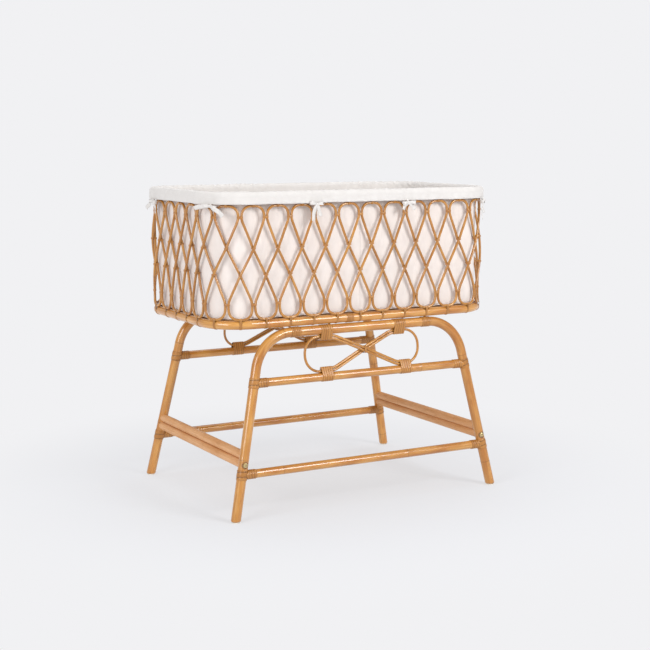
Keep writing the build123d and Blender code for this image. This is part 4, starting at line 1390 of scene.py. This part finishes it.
@dataclass
class Lattice:
    """Bent canes of the basket's wall and the ties that hold them.

    A cane is drawn on the unrolled wall, as (along the girth, height, out), with rounded corners that
    are then softened, and rolled round the wall. The run that rises to the right lies outside.
    """

    wall: Wall
    finishes: Finishes
    cane_r: float = 3.35 * MM
    apex_z: float = 776 * MM
    upper_touch_z: float = 748 * MM
    upper_cross_z: float = 672.6 * MM
    lower_cross_z: float = 607 * MM
    lower_touch_z: float = 533.8 * MM
    side_gap: float = 0.2 * MM
    layer_gap: float = 0.15 * MM
    lap_gap: float = 1.0 * MM
    fit: float = 0.1 * MM
    strap_w: float = 6.5 * MM
    strap_t: float = 0.9 * MM
    tie_t: float = 0.9 * MM
    touch_tie_h: float = 6 * MM
    cross_tie_h: float = 5 * MM
    loop_bend: float = 23 * MM  # at the shoulders of a loop
    flank_bends: tuple[float, float] = (30 * MM, 40 * MM)  # beside the upper and the lower ties
    cross_bend: float = 80 * MM
    foot_bend: float = 45 * MM
    shoulder_in: float = 2.5 * MM  # from the loop's half width to its shoulders
    belly_out: float = 0.65 * MM  # from the loop's half width to its widest place
    rise: float = 3 * MM  # of the belly and the shoulders from the ties and the lowest point
    layer: float = field(init=False)
    half_w: float = field(init=False)
    low_z: float = field(init=False)
    sides: dict[str, list[int]] = field(init=False)

    def __post_init__(self) -> None:
        """Works out what follows from the sizes."""
        self.layer = self.cane_r + self.layer_gap
        self.half_w = self.wall.pitch / 2 - self.cane_r - self.side_gap
        seat = self.wall.ring_r + self.cane_r + self.fit
        self.low_z = self.wall.ring_z + math.sqrt(seat**2 - self.wall.cane_outset**2)
        flat_half = int(
            (self.wall.straight_x / 2 - self.wall.pitch - abs(self.wall.loop_shift))
            // self.wall.pitch
        )
        half = self.wall.loops // 2
        front = list(range(-flat_half, flat_half + 1))
        right = list(range(flat_half + 1, half - flat_half))
        self.sides = {
            "front": front,
            "right": right,
            "back": [index + half for index in front],
            "left": [index + half for index in right],
        }

    def build(self) -> None:
        """Makes the canes of each side and every row of ties."""
        for side, indices in self.sides.items():
            shell = Shell()
            for index in indices:
                self._cane(index).add_to(shell)
            self.finishes.dress(shell, f"{side}_lattice", "rattan_cane", Body.BASKET)
        beside = self.cane_r + self.side_gap
        pair = [(-beside, 0, self.cane_r + self.fit), (beside, 0, self.cane_r + self.fit)]
        self._row("upper_touch_ties", self.upper_touch_z, 0, pair, self.touch_tie_h)
        self._row("lower_touch_ties", self.lower_touch_z, 0.5, pair, self.touch_tie_h)
        slant = self.wall.pitch / 2 / (self.upper_cross_z - self.lower_cross_z)
        wide = self.cane_r * math.hypot(1, slant) + self.fit
        stack = [(0, -self.layer, wide), (0, self.layer, wide)]
        self._row("upper_cross_ties", self.upper_cross_z, 0.5, stack, self.cross_tie_h)
        self._row("lower_cross_ties", self.lower_cross_z, 0, stack, self.cross_tie_h)
        self._straps("bottom_straps", 0, self._bottom_rods(), 12)
        self._straps("top_straps", 0.5, self._top_rods(), 8)

    def _cane(self, index: int) -> Rod:
        """One cane, from a loop's top round a bottom loop to the next loop's top."""
        flat, wide = self.half_w - self.shoulder_in, self.half_w + self.belly_out
        upper, lower = self.upper_touch_z - self.rise, self.lower_touch_z + self.rise
        shoulder_z = self.low_z + self.rise
        upper_bend, lower_bend = self.flank_bends
        corners = [
            (0.5, self.lap_gap, self.apex_z, 0, 0),
            (0.5, flat, self.apex_z, 0, self.loop_bend),
            (0.5, wide, upper, 0, upper_bend),
            (0.5, 0, self.upper_cross_z, self.layer, self.cross_bend),
            (0, 0, self.lower_cross_z, self.layer, self.cross_bend),
            (0, -wide, lower, 0, lower_bend),
            (0, -flat, shoulder_z, 0, self.loop_bend),
            (0, 0, self.low_z, 0, self.foot_bend),
            (0, flat, shoulder_z, 0, self.loop_bend),
            (0, wide, lower, 0, lower_bend),
            (0, 0, self.lower_cross_z, -self.layer, self.cross_bend),
            (-0.5, 0, self.upper_cross_z, -self.layer, self.cross_bend),
            (-0.5, -wide, upper, 0, upper_bend),
            (-0.5, -flat, self.apex_z, 0, self.loop_bend),
            (-0.5, -self.lap_gap, self.apex_z, 0, 0),
        ]
        points = [
            (self.wall.loop_s(index + steps) + along, z, out) for steps, along, z, out, _ in corners
        ]
        radii = [radius for *_, radius in corners[1:-1]]
        flat_path = softened(rounded_path(points, radii), 5 * MM)
        s, z, out = flat_path.T
        rolled = self.wall.at(s, z, out)
        return Rod(
            rolled, self.cane_r, self.wall.outward(s), 400 + index, around=12, step=5 * MM,
            joint_spacing=230 * MM, swell=0.25 * MM,
        )

    def _row(self, node: str, z: float, steps: float, rods: Rods, height: float) -> None:
        """Level ties all round the wall, at one height."""
        shell = Shell()
        for k in range(self.wall.loops):
            s = np.array(self.wall.loop_s(k + steps))
            Wrap(
                self.wall.at(s, z), self.wall.along(s), UP, rods, -height / 2, height / 2, 2,
                500 + k, wall=self.tie_t, around=14, rows_per_turn=3,
            ).add_to(shell)
        self.finishes.dress(shell, node, "rattan_peel", Body.BASKET)

    def _bottom_rods(self) -> list[tuple[float, float, float]]:
        """The bottom ring and a loop on it, seen along the girth: (out, height, radius)."""
        wall = self.wall
        ring = (-wall.cane_outset, wall.ring_z, wall.ring_r + self.fit)
        return [ring, (0, self.low_z, self.cane_r + 0.4 * MM)]

    def _top_rods(self) -> list[tuple[float, float, float]]:
        """A loop's top and the top ring."""
        ring_z = float(centre_of("top_ring")[2])
        ring_r = size_of("top_ring")[2] / 2
        return [(0, self.apex_z, self.cane_r + self.fit), (0, ring_z, ring_r + self.fit)]

    def _straps(self, node: str, steps: float, rods: Rods, seed: int) -> None:
        """Straps that tie each loop to a ring."""
        shell = Shell()
        for k in range(self.wall.loops):
            s = np.array(self.wall.loop_s(k + steps))
            along = -self.wall.along(s)
            Wrap(
                self.wall.at(s), self.wall.outward(s), along, rods, -self.strap_w / 2,
                self.strap_w / 2, 2, 600 + seed * 40 + k, wall=self.strap_t, around=24,
                rows_per_turn=3,
            ).add_to(shell)
        self.finishes.dress(shell, node, "rattan_peel", Body.BASKET)


@dataclass
class Liner:
    """Cloth inside the basket: a hung wall with soft upright folds and a flat floor."""

    wall: Wall
    finishes: Finishes
    inset: float = 10.2 * MM
    thickness: float = 1.2 * MM
    tuck: float = 4 * MM  # how far the wall goes up into the rim band
    columns: int = 720
    rows: int = 56

    def build(self) -> None:
        """Makes the wall and the floor."""
        self._hung_wall()
        self._floor()

    def _hung_wall(self) -> None:
        """Folds go inwards only: depth = envelope(height) * (broad waves + fine gathers)."""
        wall = self.wall
        low = float(centre_of("liner_floor")[2])
        high = float(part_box("liner_wall")[1][2])
        turns = np.linspace(0, 1, self.columns, endpoint=False)[None]
        height = np.linspace(0, 1, self.rows)[:, None]
        drift = waves(height, [1, 2], [0.003, 0.0015], 11)
        broad = waves(turns + drift, [17, 26, 41], [1.0, 0.8, 0.5], 12)
        fine = waves(turns + 0.5 * drift, [88, 131, 173], [0.5, 0.5, 0.4], 13)
        slack = waves(turns, [5, 9], [0.5, 0.4], 14)
        top = height**2
        depth = (2.3 + slack + broad * (0.6 + 0.9 * np.sin(np.pi * height) ** 1.5)) * MM
        depth = depth + fine * (0.25 + 0.75 * top) * 0.7 * MM
        depth = np.maximum(depth, 0)
        s = turns * wall.girth + 0 * height
        z = low + (high + self.tuck - low) * height + 0 * turns
        points = wall.at(s, z, -self.inset - depth)
        grain = np.stack([s, z, 0 * s], axis=-1)
        shell = Shell()
        shell.grid(points, grain)
        dress = self.finishes.dress
        made = dress(shell, "liner_wall", "liner_cotton", Body.BASKET, "liner_wall_cloth")
        thicken(made, self.thickness)

    def _floor(self) -> None:
        """Flat cloth: each ring of points is the outline scaled towards the middle."""
        wall, shell = self.wall, Shell()
        low, high = (float(corner[2]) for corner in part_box("liner_floor"))
        turns = np.linspace(0, 1, 180, endpoint=False)[None]
        share = np.linspace(0.02, 1, 26)[:, None]
        outline = wall.at(turns * wall.girth, 0, -self.inset)
        points = outline * share[..., None]
        puff = waves(turns, [7, 11], [0.2, 0.2], 21) * share * np.sqrt(1 - 0.99 * share)
        points = points + UP * ((low + high) / 2 + puff * MM)[..., None]
        shell.grid(points[::-1], points[::-1] * 1.0, caps=(False, True))
        dress = self.finishes.dress
        made = dress(shell, "liner_floor", "liner_cotton", Body.BASKET, "liner_floor_cloth")
        thicken(made, self.thickness)


@dataclass
class RimBand:
    """Padded band folded over the top ring.

    The section is a closed line of (out, height) that goes down the outer face, up the groove over the
    ring, down and up the inner face, and over the crown. It is carried round the wall and puckered:
    each point moves along its own side by waves that are strongest between the bows.
    """

    wall: Wall
    finishes: Finishes
    bows: Sequence[float]
    columns: int = 960
    inner_out: float = -11.8 * MM  # the inner face, from the wall's surface
    ring_depth: float = 12.5 * MM  # from the crown to the groove that the ring lies in
    crown_rise: float = 12 * MM
    skirt_t: float = 2.2 * MM
    hem_lift: float = 1.2 * MM
    crown_drop: float = 1.5 * MM

    def _section(self) -> tuple[Array, Array, Array]:
        """Points (out, height), the puckering's direction and its strength."""
        low, high = (np.array(corner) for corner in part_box("rim_band"))
        outer = float(high[0]) - self.wall.half_x
        inner, rise = self.inner_out, self.crown_rise
        bottom, top = float(low[2]), float(high[2]) - self.crown_drop
        groove = top - self.ring_depth
        middle, half = (outer + inner) / 2, (outer - inner) / 2
        angle = np.linspace(0, np.pi, 15)
        crown = np.stack([middle + half * np.cos(angle), top - rise + rise * np.sin(angle)], axis=1)
        down_in = [(inner, z) for z in np.linspace(top - rise - 5 * MM, bottom + 1.5 * MM, 4)]
        skirt = self.skirt_t
        hem_in = [(inner + 0.4 * skirt, bottom), (inner + skirt, bottom + 1 * MM)]
        hem = bottom + self.hem_lift
        up_groove = [(inner + skirt, groove - 3 * MM), (inner + skirt + 3 * MM, groove)]
        down_groove = [(outer - skirt - 3 * MM, groove), (outer - skirt, groove - 3 * MM)]
        hem_out = [(outer - skirt, hem + 1 * MM), (outer - 0.5 * skirt, hem - 0.6 * MM)]
        up_out = [(outer, z) for z in np.linspace(hem + 0.5 * MM, top - rise - 4 * MM, 5)]
        section = np.array(
            [*crown, *down_in, *hem_in, *up_groove, *down_groove, *hem_out, *up_out]
        )
        before, after = np.roll(section, 1, 0), np.roll(section, -1, 0)
        tangent = unit(after - before)
        normal = np.stack([tangent[:, 1], -tangent[:, 0]], axis=1)
        inside = np.abs(section[:, 0] - middle) < half - skirt * 0.9
        hidden = inside & (section[:, 1] < groove + 0.1 * MM)
        return section, normal, np.where(hidden, 0.0, 1.0)

    def build(self) -> None:
        """Makes the band."""
        wall, shell = self.wall, Shell()
        section, normal, strength = self._section()
        turns = np.linspace(0, 1, self.columns, endpoint=False)[None]
        s = turns * wall.girth
        bottom, top = section[:, 1].min(), section[:, 1].max()
        height = ((section[:, 1] - bottom) / (top - bottom))[:, None]
        inner_side = (section[:, 0] < section[:, 0].mean())[:, None]
        lean = waves(height, [1], [0.004], 31)
        soft = waves(turns + lean, [13, 23, 37], [0.35, 0.3, 0.25], 32)
        small = waves(turns + 2 * lean, [67, 101, 149], [0.16, 0.13, 0.1], 33)
        gathers = waves(turns + 2 * lean, [97, 139, 201], [0.5, 0.45, 0.4], 34)
        patchy = np.clip(0.5 + waves(turns, [3, 5, 8], [0.35, 0.3, 0.25], 35), 0, 1)
        crown = np.clip(3 * height - 2, 0, 1)
        bunched = np.where(inner_side, 1.2, 0.1) + 0.7 * crown
        pucker = soft + small * (0.3 + patchy) + bunched * gathers * patchy
        pucker = pucker * MM * strength[:, None]
        pull = sum(
            bell((s - bow + wall.girth / 2) % wall.girth - wall.girth / 2, 13 * MM)
            for bow in self.bows
        )
        pucker = pucker - 1.3 * MM * pull * strength[:, None] * (height < 0.75)
        sag = waves(turns, [4, 9, 17, 29], [0.35, 0.3, 0.25, 0.2], 36) * MM
        hem = np.clip(1 - 2.5 * height, 0, 1) * sag * strength[:, None]
        out = section[:, :1] + normal[:, :1] * pucker
        z = section[:, 1:] + normal[:, 1:] * pucker * 0.7 + hem + 0.5 * sag * (height > 0.9)
        points = wall.at(s + 0 * out, z, out)
        around = lengths_along(section)[:, None]
        grain = np.stack([s + 0 * out, around + 0 * s, 0 * out], axis=-1)
        shell.grid(points, grain, ring_rows=True)
        dress = self.finishes.dress
        made = dress(shell, "rim_band", "band_cotton", Body.BASKET, "rim_band_padded")


@dataclass(frozen=True)
class BowShape:
    """How one bow lies: for its left and right side, the tails' fall and length and the loops' size.

    A fall is in radians below level, and the other numbers are shares of the usual length.
    """

    falls: tuple[float, float]
    tails: tuple[float, float] = (1.0, 1.0)
    loops: tuple[float, float] = (0.9, 0.9)
    tilts: tuple[float, float] = (0.1, 0.2)
    twists: tuple[float, float] = (0.7, -0.6)
    shift: float = 0.0


@dataclass
class Bows:
    """Cotton tape tied in a bow at every fourth loop contact.

    A loop is a flattened drop: along = length*sin(pi u)^0.8 and out = depth*sin(2 pi u), and the tape
    stands on edge and narrows to the knot. A tail falls at an angle with a slow twist.
    """

    wall: Wall
    finishes: Finishes
    tape_w: float = 11 * MM
    tape_t: float = 0.5 * MM
    loop_l: float = 22 * MM
    tail_l: float = 42 * MM
    drop: float = 3 * MM  # of the knots below the band's hem
    out: float = 13.2 * MM
    loop_depth: float = 4.5 * MM
    knot: tuple[float, float, float] = (4.2 * MM, 3.4 * MM, 4.8 * MM)
    every: int = 4
    first: int = -6
    shapes: Sequence[BowShape] = (
        BowShape((0.15, 0.6), (1.1, 1.05), (0.8, 0.7), (0.0, 0.3)),
        BowShape((1.35, 1.2), (1.0, 0.75), (0.8, 0.85), (-0.3, -0.2)),
        BowShape((0.9, 0.75), (0.6, 0.7), (0.7, 1.05), (0.3, 0.1)),
        BowShape((1.5, 1.45), (1.3, 0.9), (0.6, 0.6), (0.5, 0.5), (0.3, 0.3), -20 * MM),
        BowShape((0.8, 1.1), (0.9, 1.0), (0.9, 0.8), (0.1, 0.3)),
        BowShape((1.1, 0.7), (1.05, 0.8), (0.8, 0.95), (0.2, 0.0)),
        BowShape((0.6, 1.3), (0.85, 1.1), (1.0, 0.8), (0.0, 0.4)),
        BowShape((1.2, 0.9), (1.0, 0.9), (0.75, 0.9), (0.3, 0.1)),
        BowShape((0.5, 1.0), (1.1, 0.9), (0.85, 0.9), (0.1, 0.2), (0.5, 0.4), -48 * MM),
    )

    def places(self) -> list[float]:
        """Places of the knots along the girth."""
        return [
            self.wall.loop_s(self.first + self.every * i) + shape.shift
            for i, shape in enumerate(self.shapes)
        ]

    def _strip(
        self, shell: Shell, local: Array, edge: Array, width: Array, base: tuple[Array, ...]
    ) -> float:
        """Adds tape along a path in the knot's own directions, and returns its length.

        Args:
            shell: what it is added to.
            local: path as (along, out, up).
            edge: direction across the tape, in the same directions.
            width: width of the tape along the path.
            base: origin, along, out and up vectors.
        """
        origin, *axes = base
        world = np.stack(axes)
        across = np.linspace(-0.5, 0.5, 5)[None, :, None]
        camber = (0.25 - across**2) * 1.2 * MM
        face = unit(np.cross(np.gradient(local, axis=0), edge))
        flat = local[:, None] + edge[:, None] * across * width[:, None, None]
        points = origin + (flat + face[:, None] * camber) @ world
        along = lengths_along(local)
        grain = np.stack(
            [
                np.broadcast_to(along[:, None], points.shape[:2]),
                across[..., 0] * width[:, None] + 0 * along[:, None],
                0 * points[..., 0],
            ],
            axis=-1,
        )
        shell.grid(points, grain, ring_columns=False)
        return float(along[-1])

    def _loop(
        self, shell: Shell, side: int, tilt: float, base: tuple[Array, ...], size: float
    ) -> float:
        """One loop of a bow."""
        u = np.linspace(0, 1, 26)
        reach = self.loop_l * size * np.sin(np.pi * u) ** 0.8
        local = np.stack(
            [
                side * reach * math.cos(tilt),
                self.loop_depth * np.sin(2 * np.pi * u) + 1 * MM,
                -reach * math.sin(tilt),
            ],
            axis=1,
        )
        open_share = 0.45 + 0.55 * np.sin(np.pi * u)
        edge = np.array([side * math.sin(tilt), 0.0, math.cos(tilt)]) + 0 * local
        return self._strip(shell, local, edge, self.tape_w * open_share, base)

    def _tail(
        self, shell: Shell, side: int, fall: float, base: tuple[Array, ...], length: float,
        twist: float,
    ) -> float:
        """One hanging end, with its tip cut aslant."""
        u = np.linspace(0, 1, 18)
        bend = fall + 0.35 * (u - 0.5)
        step = length / (len(u) - 1)
        x = side * np.concatenate([[0], np.cumsum(np.cos(bend[:-1]) * step)])
        z = -np.concatenate([[0], np.cumsum(np.sin(bend[:-1]) * step)])
        local = np.stack([x, 1.5 * MM + 1.6 * MM * np.sin(2.5 * np.pi * u + twist), z], axis=1)
        turn = twist * 0.5 * u
        edge = np.stack(
            [side * np.sin(bend) * np.cos(turn), np.sin(turn), np.cos(bend) * np.cos(turn)], axis=1
        )
        width = self.tape_w * (0.45 + 0.55 * np.clip(5 * u, 0, 1))
        return self._strip(shell, local, edge, width, base)

    def _knot(self, shell: Shell, base: tuple[Array, ...]) -> None:
        """A small lump: an ellipsoid with two creases down its face."""
        origin, *axes = base
        turn = np.linspace(0, 2 * np.pi, 18, endpoint=False)[None]
        rise = np.linspace(-0.5, 0.5, 9)[1:-1, None] * np.pi
        crease = 1 - 0.12 * np.cos(6 * turn) * np.cos(rise)
        local = np.stack(
            [
                np.cos(rise) * np.cos(turn) * crease,
                np.cos(rise) * np.sin(turn) * crease,
                np.sin(rise) + 0 * turn,
            ],
            axis=-1,
        ) * np.array(self.knot)
        shell.grid(origin + local @ np.stack(axes), local, caps=(True, True))

    def build(self) -> None:
        """Makes every bow."""
        tapes, knots, length = Shell(), Shell(), 0.0
        rim_low = float(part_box("rim_band")[0][2])
        for s, shape in zip(self.places(), self.shapes):
            at = np.array(s)
            out, along = self.wall.outward(at), self.wall.along(at)
            base = (self.wall.at(at, rim_low - self.drop, self.out), along, out, UP)
            for n, side in enumerate((-1, 1)):
                length += self._loop(tapes, side, shape.tilts[n], base, shape.loops[n])
                long = self.tail_l * shape.tails[n]
                length += self._tail(tapes, side, shape.falls[n], base, long, shape.twists[n])
            self._knot(knots, base)
        dress = self.finishes.dress
        tape = dress(tapes, "ribbon_bows", "ribbon_cotton", Body.BASKET, "ribbon_bow_tapes")
        thicken(tape, self.tape_t)
        knot = knots.piece(
            "ribbon_bow_knots", self.finishes["ribbon_cotton"], Body.BASKET, "ribbon_cotton"
        )


# ---------------------------------------------------------------- mattress


@dataclass
class Mattress:
    """Foam mattress in a quilted cover, with piping round both edges.

    The block is a stack of outlines, each scaled or moved in from the wall, from the middle of the
    bottom over the rounded edges to the middle of the top. It is then inflated as cloth, and the
    quilting's channels are pressed in: depth * exp(-(distance to the nearest seam / width)^2).
    """

    wall: Wall
    finishes: Finishes
    rounding: float = 12 * MM
    start_in: float = 5 * MM
    voxel: float = 7 * MM
    pressure: float = 4.0
    most_move: float = 7 * MM
    frames: int = 20
    seam_pitch: float = 95 * MM
    seam_depth: float = 3.2 * MM
    seam_w: float = 5 * MM
    piping_r: float = 2.4 * MM
    piping_rises: tuple[float, float] = (9 * MM, -8 * MM)  # from the underside and from the top
    inset: float = field(init=False)
    low: float = field(init=False)
    high: float = field(init=False)

    def build(self) -> None:
        """Makes the padded block and its piping."""
        low, high = (np.array(corner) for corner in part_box("mattress"))
        self.inset = self.wall.half_x - float(high[0])
        self.low, self.high = float(low[2]), float(high[2])
        block = self._block()
        self._inflate(block)
        self._quilt(block)
        self._piping(self._points(block))

    def _block(self) -> bpy.types.Object:
        """The plain block with rounded edges."""
        wall, shell = self.wall, Shell()
        turns = np.linspace(0, 1, 300, endpoint=False)[None]
        angle = np.linspace(0, np.pi / 2, 6)
        inset = self.inset + self.start_in
        r = self.rounding
        inner = np.linspace(0.03, 0.97, 30)
        edge_out = -inset - r + r * np.concatenate([np.sin(angle), np.cos(angle)])
        edge_z = np.concatenate(
            [self.low + r - r * np.cos(angle), self.high - r + r * np.sin(angle)]
        )
        s = turns * wall.girth
        edge = wall.at(s + 0 * edge_z[:, None], edge_z[:, None], edge_out[:, None])
        ring = wall.at(s, 0, -inset - r)
        crown = 3 * MM * (1 - inner[::-1] ** 2)
        bottom = ring * inner[:, None, None] + UP * self.low
        top = ring * inner[::-1, None, None] + UP * (self.high + crown)[:, None, None]
        points = np.concatenate([bottom, edge, top])
        shell.grid(points, points, caps=(True, True))
        dress = self.finishes.dress
        return dress(shell, "mattress", "mattress_cover", Body.MATTRESS, "mattress_padded")

    def _inflate(self, block: bpy.types.Object) -> None:
        """Remeshes the block evenly, blows it up as cloth and keeps its underside flat."""
        scene = bpy.context.scene
        remesh = block.modifiers.new("even", "REMESH")
        remesh.mode = "VOXEL"
        remesh.voxel_size = self.voxel
        self._apply(block)
        rest = self._points(block)
        cloth = block.modifiers.new("cloth", "CLOTH")
        cloth.settings.use_pressure = True
        cloth.settings.uniform_pressure_force = self.pressure
        cloth.settings.effector_weights.gravity = 0.0
        cloth.point_cache.frame_start, cloth.point_cache.frame_end = 1, self.frames
        for number in range(1, self.frames + 1):
            scene.frame_set(number)
        self._apply(block)
        scene.frame_set(1)
        move = self._points(block) - rest
        far = np.linalg.norm(move, axis=1, keepdims=True)
        points = rest + move * np.minimum(1, self.most_move / np.maximum(far, 1e-9))
        points[:, 2] = np.maximum(points[:, 2], self.low)
        full = np.array([self.wall.half_x, self.wall.half_y]) - self.inset
        points[:, :2] *= full / np.abs(points[:, :2]).max(axis=0)
        self._set_points(block, points)
        LOG.info("mattress moved by up to %.1f mm", float(far.max() / MM))

    def _apply(self, block: bpy.types.Object) -> None:
        """Makes the modified mesh the object's own."""
        graph = bpy.context.evaluated_depsgraph_get()
        mesh = bpy.data.meshes.new_from_object(block.evaluated_get(graph))
        material = self.finishes["mattress_cover"]
        block.modifiers.clear()
        block.data = mesh
        mesh.materials.clear()
        mesh.materials.append(material)

    def _points(self, block: bpy.types.Object) -> Array:
        """The mesh's points."""
        points = np.empty(len(block.data.vertices) * 3, np.float32)
        block.data.vertices.foreach_get("co", points)
        return points.reshape(-1, 3).astype(float)

    def _set_points(self, block: bpy.types.Object, points: Array) -> None:
        """Moves the mesh's points."""
        block.data.vertices.foreach_set("co", points.astype(np.float32).ravel())
        block.data.update()

    def _quilt(self, block: bpy.types.Object) -> None:
        """Presses diagonal seams into the top, paints shade along them and sets the cloth's thread
        directions.
        """
        smooth = block.modifiers.new("smooth", "SUBSURF")
        smooth.levels = smooth.render_levels = 1
        self._apply(block)
        points = self._points(block)
        x, y, z = points.T
        seams = np.zeros(len(points))
        for direction in ((1, 1), (1, -1)):
            along = (x * direction[0] + y * direction[1]) / math.sqrt(2)
            away = (along + self.seam_pitch / 2) % self.seam_pitch - self.seam_pitch / 2
            seams = np.maximum(seams, bell(away, self.seam_w))
        height = (z - self.low) / (self.high - self.low)
        facing = np.clip((height - 0.75) / 0.2, 0, 1)
        points[:, 2] -= self.seam_depth * seams * facing
        points[:, 2] = np.maximum(points[:, 2], self.low)
        self._set_points(block, points)
        mesh = block.data
        for label in ("grain", "mark_and_shade", "tone"):
            if label in mesh.attributes:
                mesh.attributes.remove(mesh.attributes[label])
        store(mesh, "grain", points)
        # painted shade along the pressed seams on the top
        store(mesh, "mark_and_shade", 0.5 * seams * facing)
        mesh.polygons.foreach_set("use_smooth", np.ones(len(mesh.polygons), bool))

    def _edge_out(self, surface: Array, s: Array, z: float) -> Array:
        """How far out the block's edge is at places along the girth, at one height.

        Each place takes the furthest of the surface points near it, and a running mean evens them.
        """
        near = surface[np.abs(surface[:, 2] - z) < 4 * MM]
        places = self.wall.at(s, z, -self.inset)
        apart = np.linalg.norm(places[:, None, :2] - near[None, :, :2], axis=-1)
        closest = apart.min(axis=1, keepdims=True)
        furthest = np.where(apart < closest + 4 * MM, self.wall.out_of(near), -1).max(axis=1)
        half = 12
        around = np.concatenate([furthest[-half - 1 : -1], furthest, furthest[1 : half + 1]])
        return np.convolve(around, np.full(2 * half + 1, 1 / (2 * half + 1)), "valid")

    def _piping(self, surface: Array) -> None:
        """Covered cord sewn round the top and bottom edges of the block."""
        wall, shell = self.wall, Shell()
        s = np.linspace(0, wall.girth, 900)
        heights = (self.low + self.piping_rises[0], self.high + self.piping_rises[1])
        for number, z in enumerate(heights):
            out = self._edge_out(surface, s, z) + 0.3 * MM
            out = out + waves(s / wall.girth, [60, 97], [0.15, 0.15], 41) * MM
            Rod(
                wall.at(s, z, out), self.piping_r, UP, 700 + number, around=10, step=6 * MM,
                closed=True,
            ).add_to(shell)
        piping = shell.piece(
            "mattress_piping", self.finishes["mattress_cover"], Body.MATTRESS, "mattress_cover"
        )


# ---------------------------------------------------------------- studio


@dataclass
class Studio:
    """Pale floor, soft lights and the camera."""

    background: str = "#f1f1f3"
    floor_colour: str = "#dee1e7"
    near: float = 0.35
    far: float = 1.15
    least_glow: float = 0.6
    floor_half: float = 40.0
    target: tuple[float, float, float] = (0.0224, 0.0, 0.4305)
    azimuth: float = -29.2
    elevation: float = 8.04
    distance: float = 3.726
    lens: float = 75.26
    ambient: float = 0.58

    def build(self) -> None:
        """Makes the floor, the world, the lights and the camera."""
        self._floor()
        self._world()
        self._softbox("key light", (1.3, -3.0, 2.1), 1.3, 70)
        self._softbox("fill light", (-3.0, -1.4, 1.5), 1.6, 48)
        self._softbox("top light", (0.2, 0.6, 3.0), 2.2, 22)
        self._camera()

    def _floor(self) -> None:
        """A wide plane that turns into the background's even colour away from the object."""
        h = self.floor_half
        mesh = bpy.data.meshes.new("studio_floor")
        mesh.from_pydata([(-h, -h, 0), (h, -h, 0), (h, h, 0), (-h, h, 0)], [], [(0, 1, 2, 3)])
        floor = bpy.data.objects.new("studio_floor", mesh)
        bpy.context.scene.collection.objects.link(floor)
        material, tree = new_material("matt paper sweep")
        place = add_node(tree, "TexCoord").outputs["Object"]
        away = add_node(tree, "VectorMath", {0: place}, operation="LENGTH").outputs["Value"]
        share = add_node(
            tree,
            "MapRange",
            {0: away, 1: self.near, 2: self.far, 3: self.least_glow, 4: 1.0},
            interpolation_type="SMOOTHSTEP",
        ).outputs[0]
        paper = add_node(
            tree, "BsdfPrincipled", {"Base Color": linear(self.floor_colour), "Roughness": 0.9}
        )
        glow = add_node(tree, "Emission", {"Color": linear(self.background)})
        blend = add_node(tree, "MixShader", {0: share, 1: paper.outputs[0], 2: glow.outputs[0]})
        add_node(tree, "OutputMaterial", {"Surface": blend.outputs[0]})
        mesh.materials.append(material)

    def _world(self) -> None:
        """Even background, with a weaker even light."""
        world = bpy.data.worlds.new("studio")
        bpy.context.scene.world = world
        world.use_nodes = True
        tree = world.node_tree
        tree.nodes.clear()
        colour = linear(self.background)
        seen = add_node(tree, "Background", {"Color": colour, "Strength": 1.0})
        lit = add_node(tree, "Background", {"Color": colour, "Strength": self.ambient})
        camera = add_node(tree, "LightPath").outputs["Is Camera Ray"]
        both = add_node(tree, "MixShader", {0: camera, 1: lit.outputs[0], 2: seen.outputs[0]})
        add_node(tree, "OutputWorld", {"Surface": both.outputs[0]})

    def _softbox(self, name: str, place: Sequence[float], size: float, power: float) -> None:
        """A square soft light that points at the object."""
        light = bpy.data.lights.new(name, "AREA")
        light.size, light.energy = size, power
        holder = bpy.data.objects.new(name, light)
        holder.location = place
        aim = np.array(self.target) - np.array(place)
        holder.rotation_euler = self._aim(aim)
        bpy.context.scene.collection.objects.link(holder)

    def _aim(self, direction: Array) -> Euler:
        """Rotation that turns -Z to a direction, with Y up."""
        return Vector(direction).to_track_quat("-Z", "Y").to_euler()

    def _camera(self) -> None:
        """The camera, placed by azimuth, elevation and distance from its target."""
        a, e = math.radians(self.azimuth), math.radians(self.elevation)
        back = np.array([math.sin(a) * math.cos(e), -math.cos(a) * math.cos(e), math.sin(e)])
        data = bpy.data.cameras.new("camera")
        data.lens, data.sensor_width = self.lens, 36.0
        camera = bpy.data.objects.new("camera", data)
        camera.location = np.array(self.target) + back * self.distance
        camera.rotation_euler = self._aim(-back)
        bpy.context.scene.collection.objects.link(camera)
        bpy.context.scene.camera = camera


def main() -> None:
    """Builds the studio and every piece of the object, in order."""
    logging.basicConfig(level=logging.INFO, format="%(message)s")
    bpy.context.scene.view_settings.view_transform = "Standard"
    Studio().build()
    finishes, plan, wall = Finishes(), StandPlan(), Wall()
    for side in FrameSide:
        stand_frame = StandFrame(plan, finishes, side)
        stand_frame.build()
        FigureEight(stand_frame).build()
    Stretchers(plan, finishes).build()
    Hardware(finishes).build()
    Rings(wall, finishes).build()
    Lattice(wall, finishes).build()
    Liner(wall, finishes).build()
    bows = Bows(wall, finishes)
    RimBand(wall, finishes, bows.places()).build()
    bows.build()
    Mattress(wall, finishes).build()


if __name__ == "__main__":
    main()
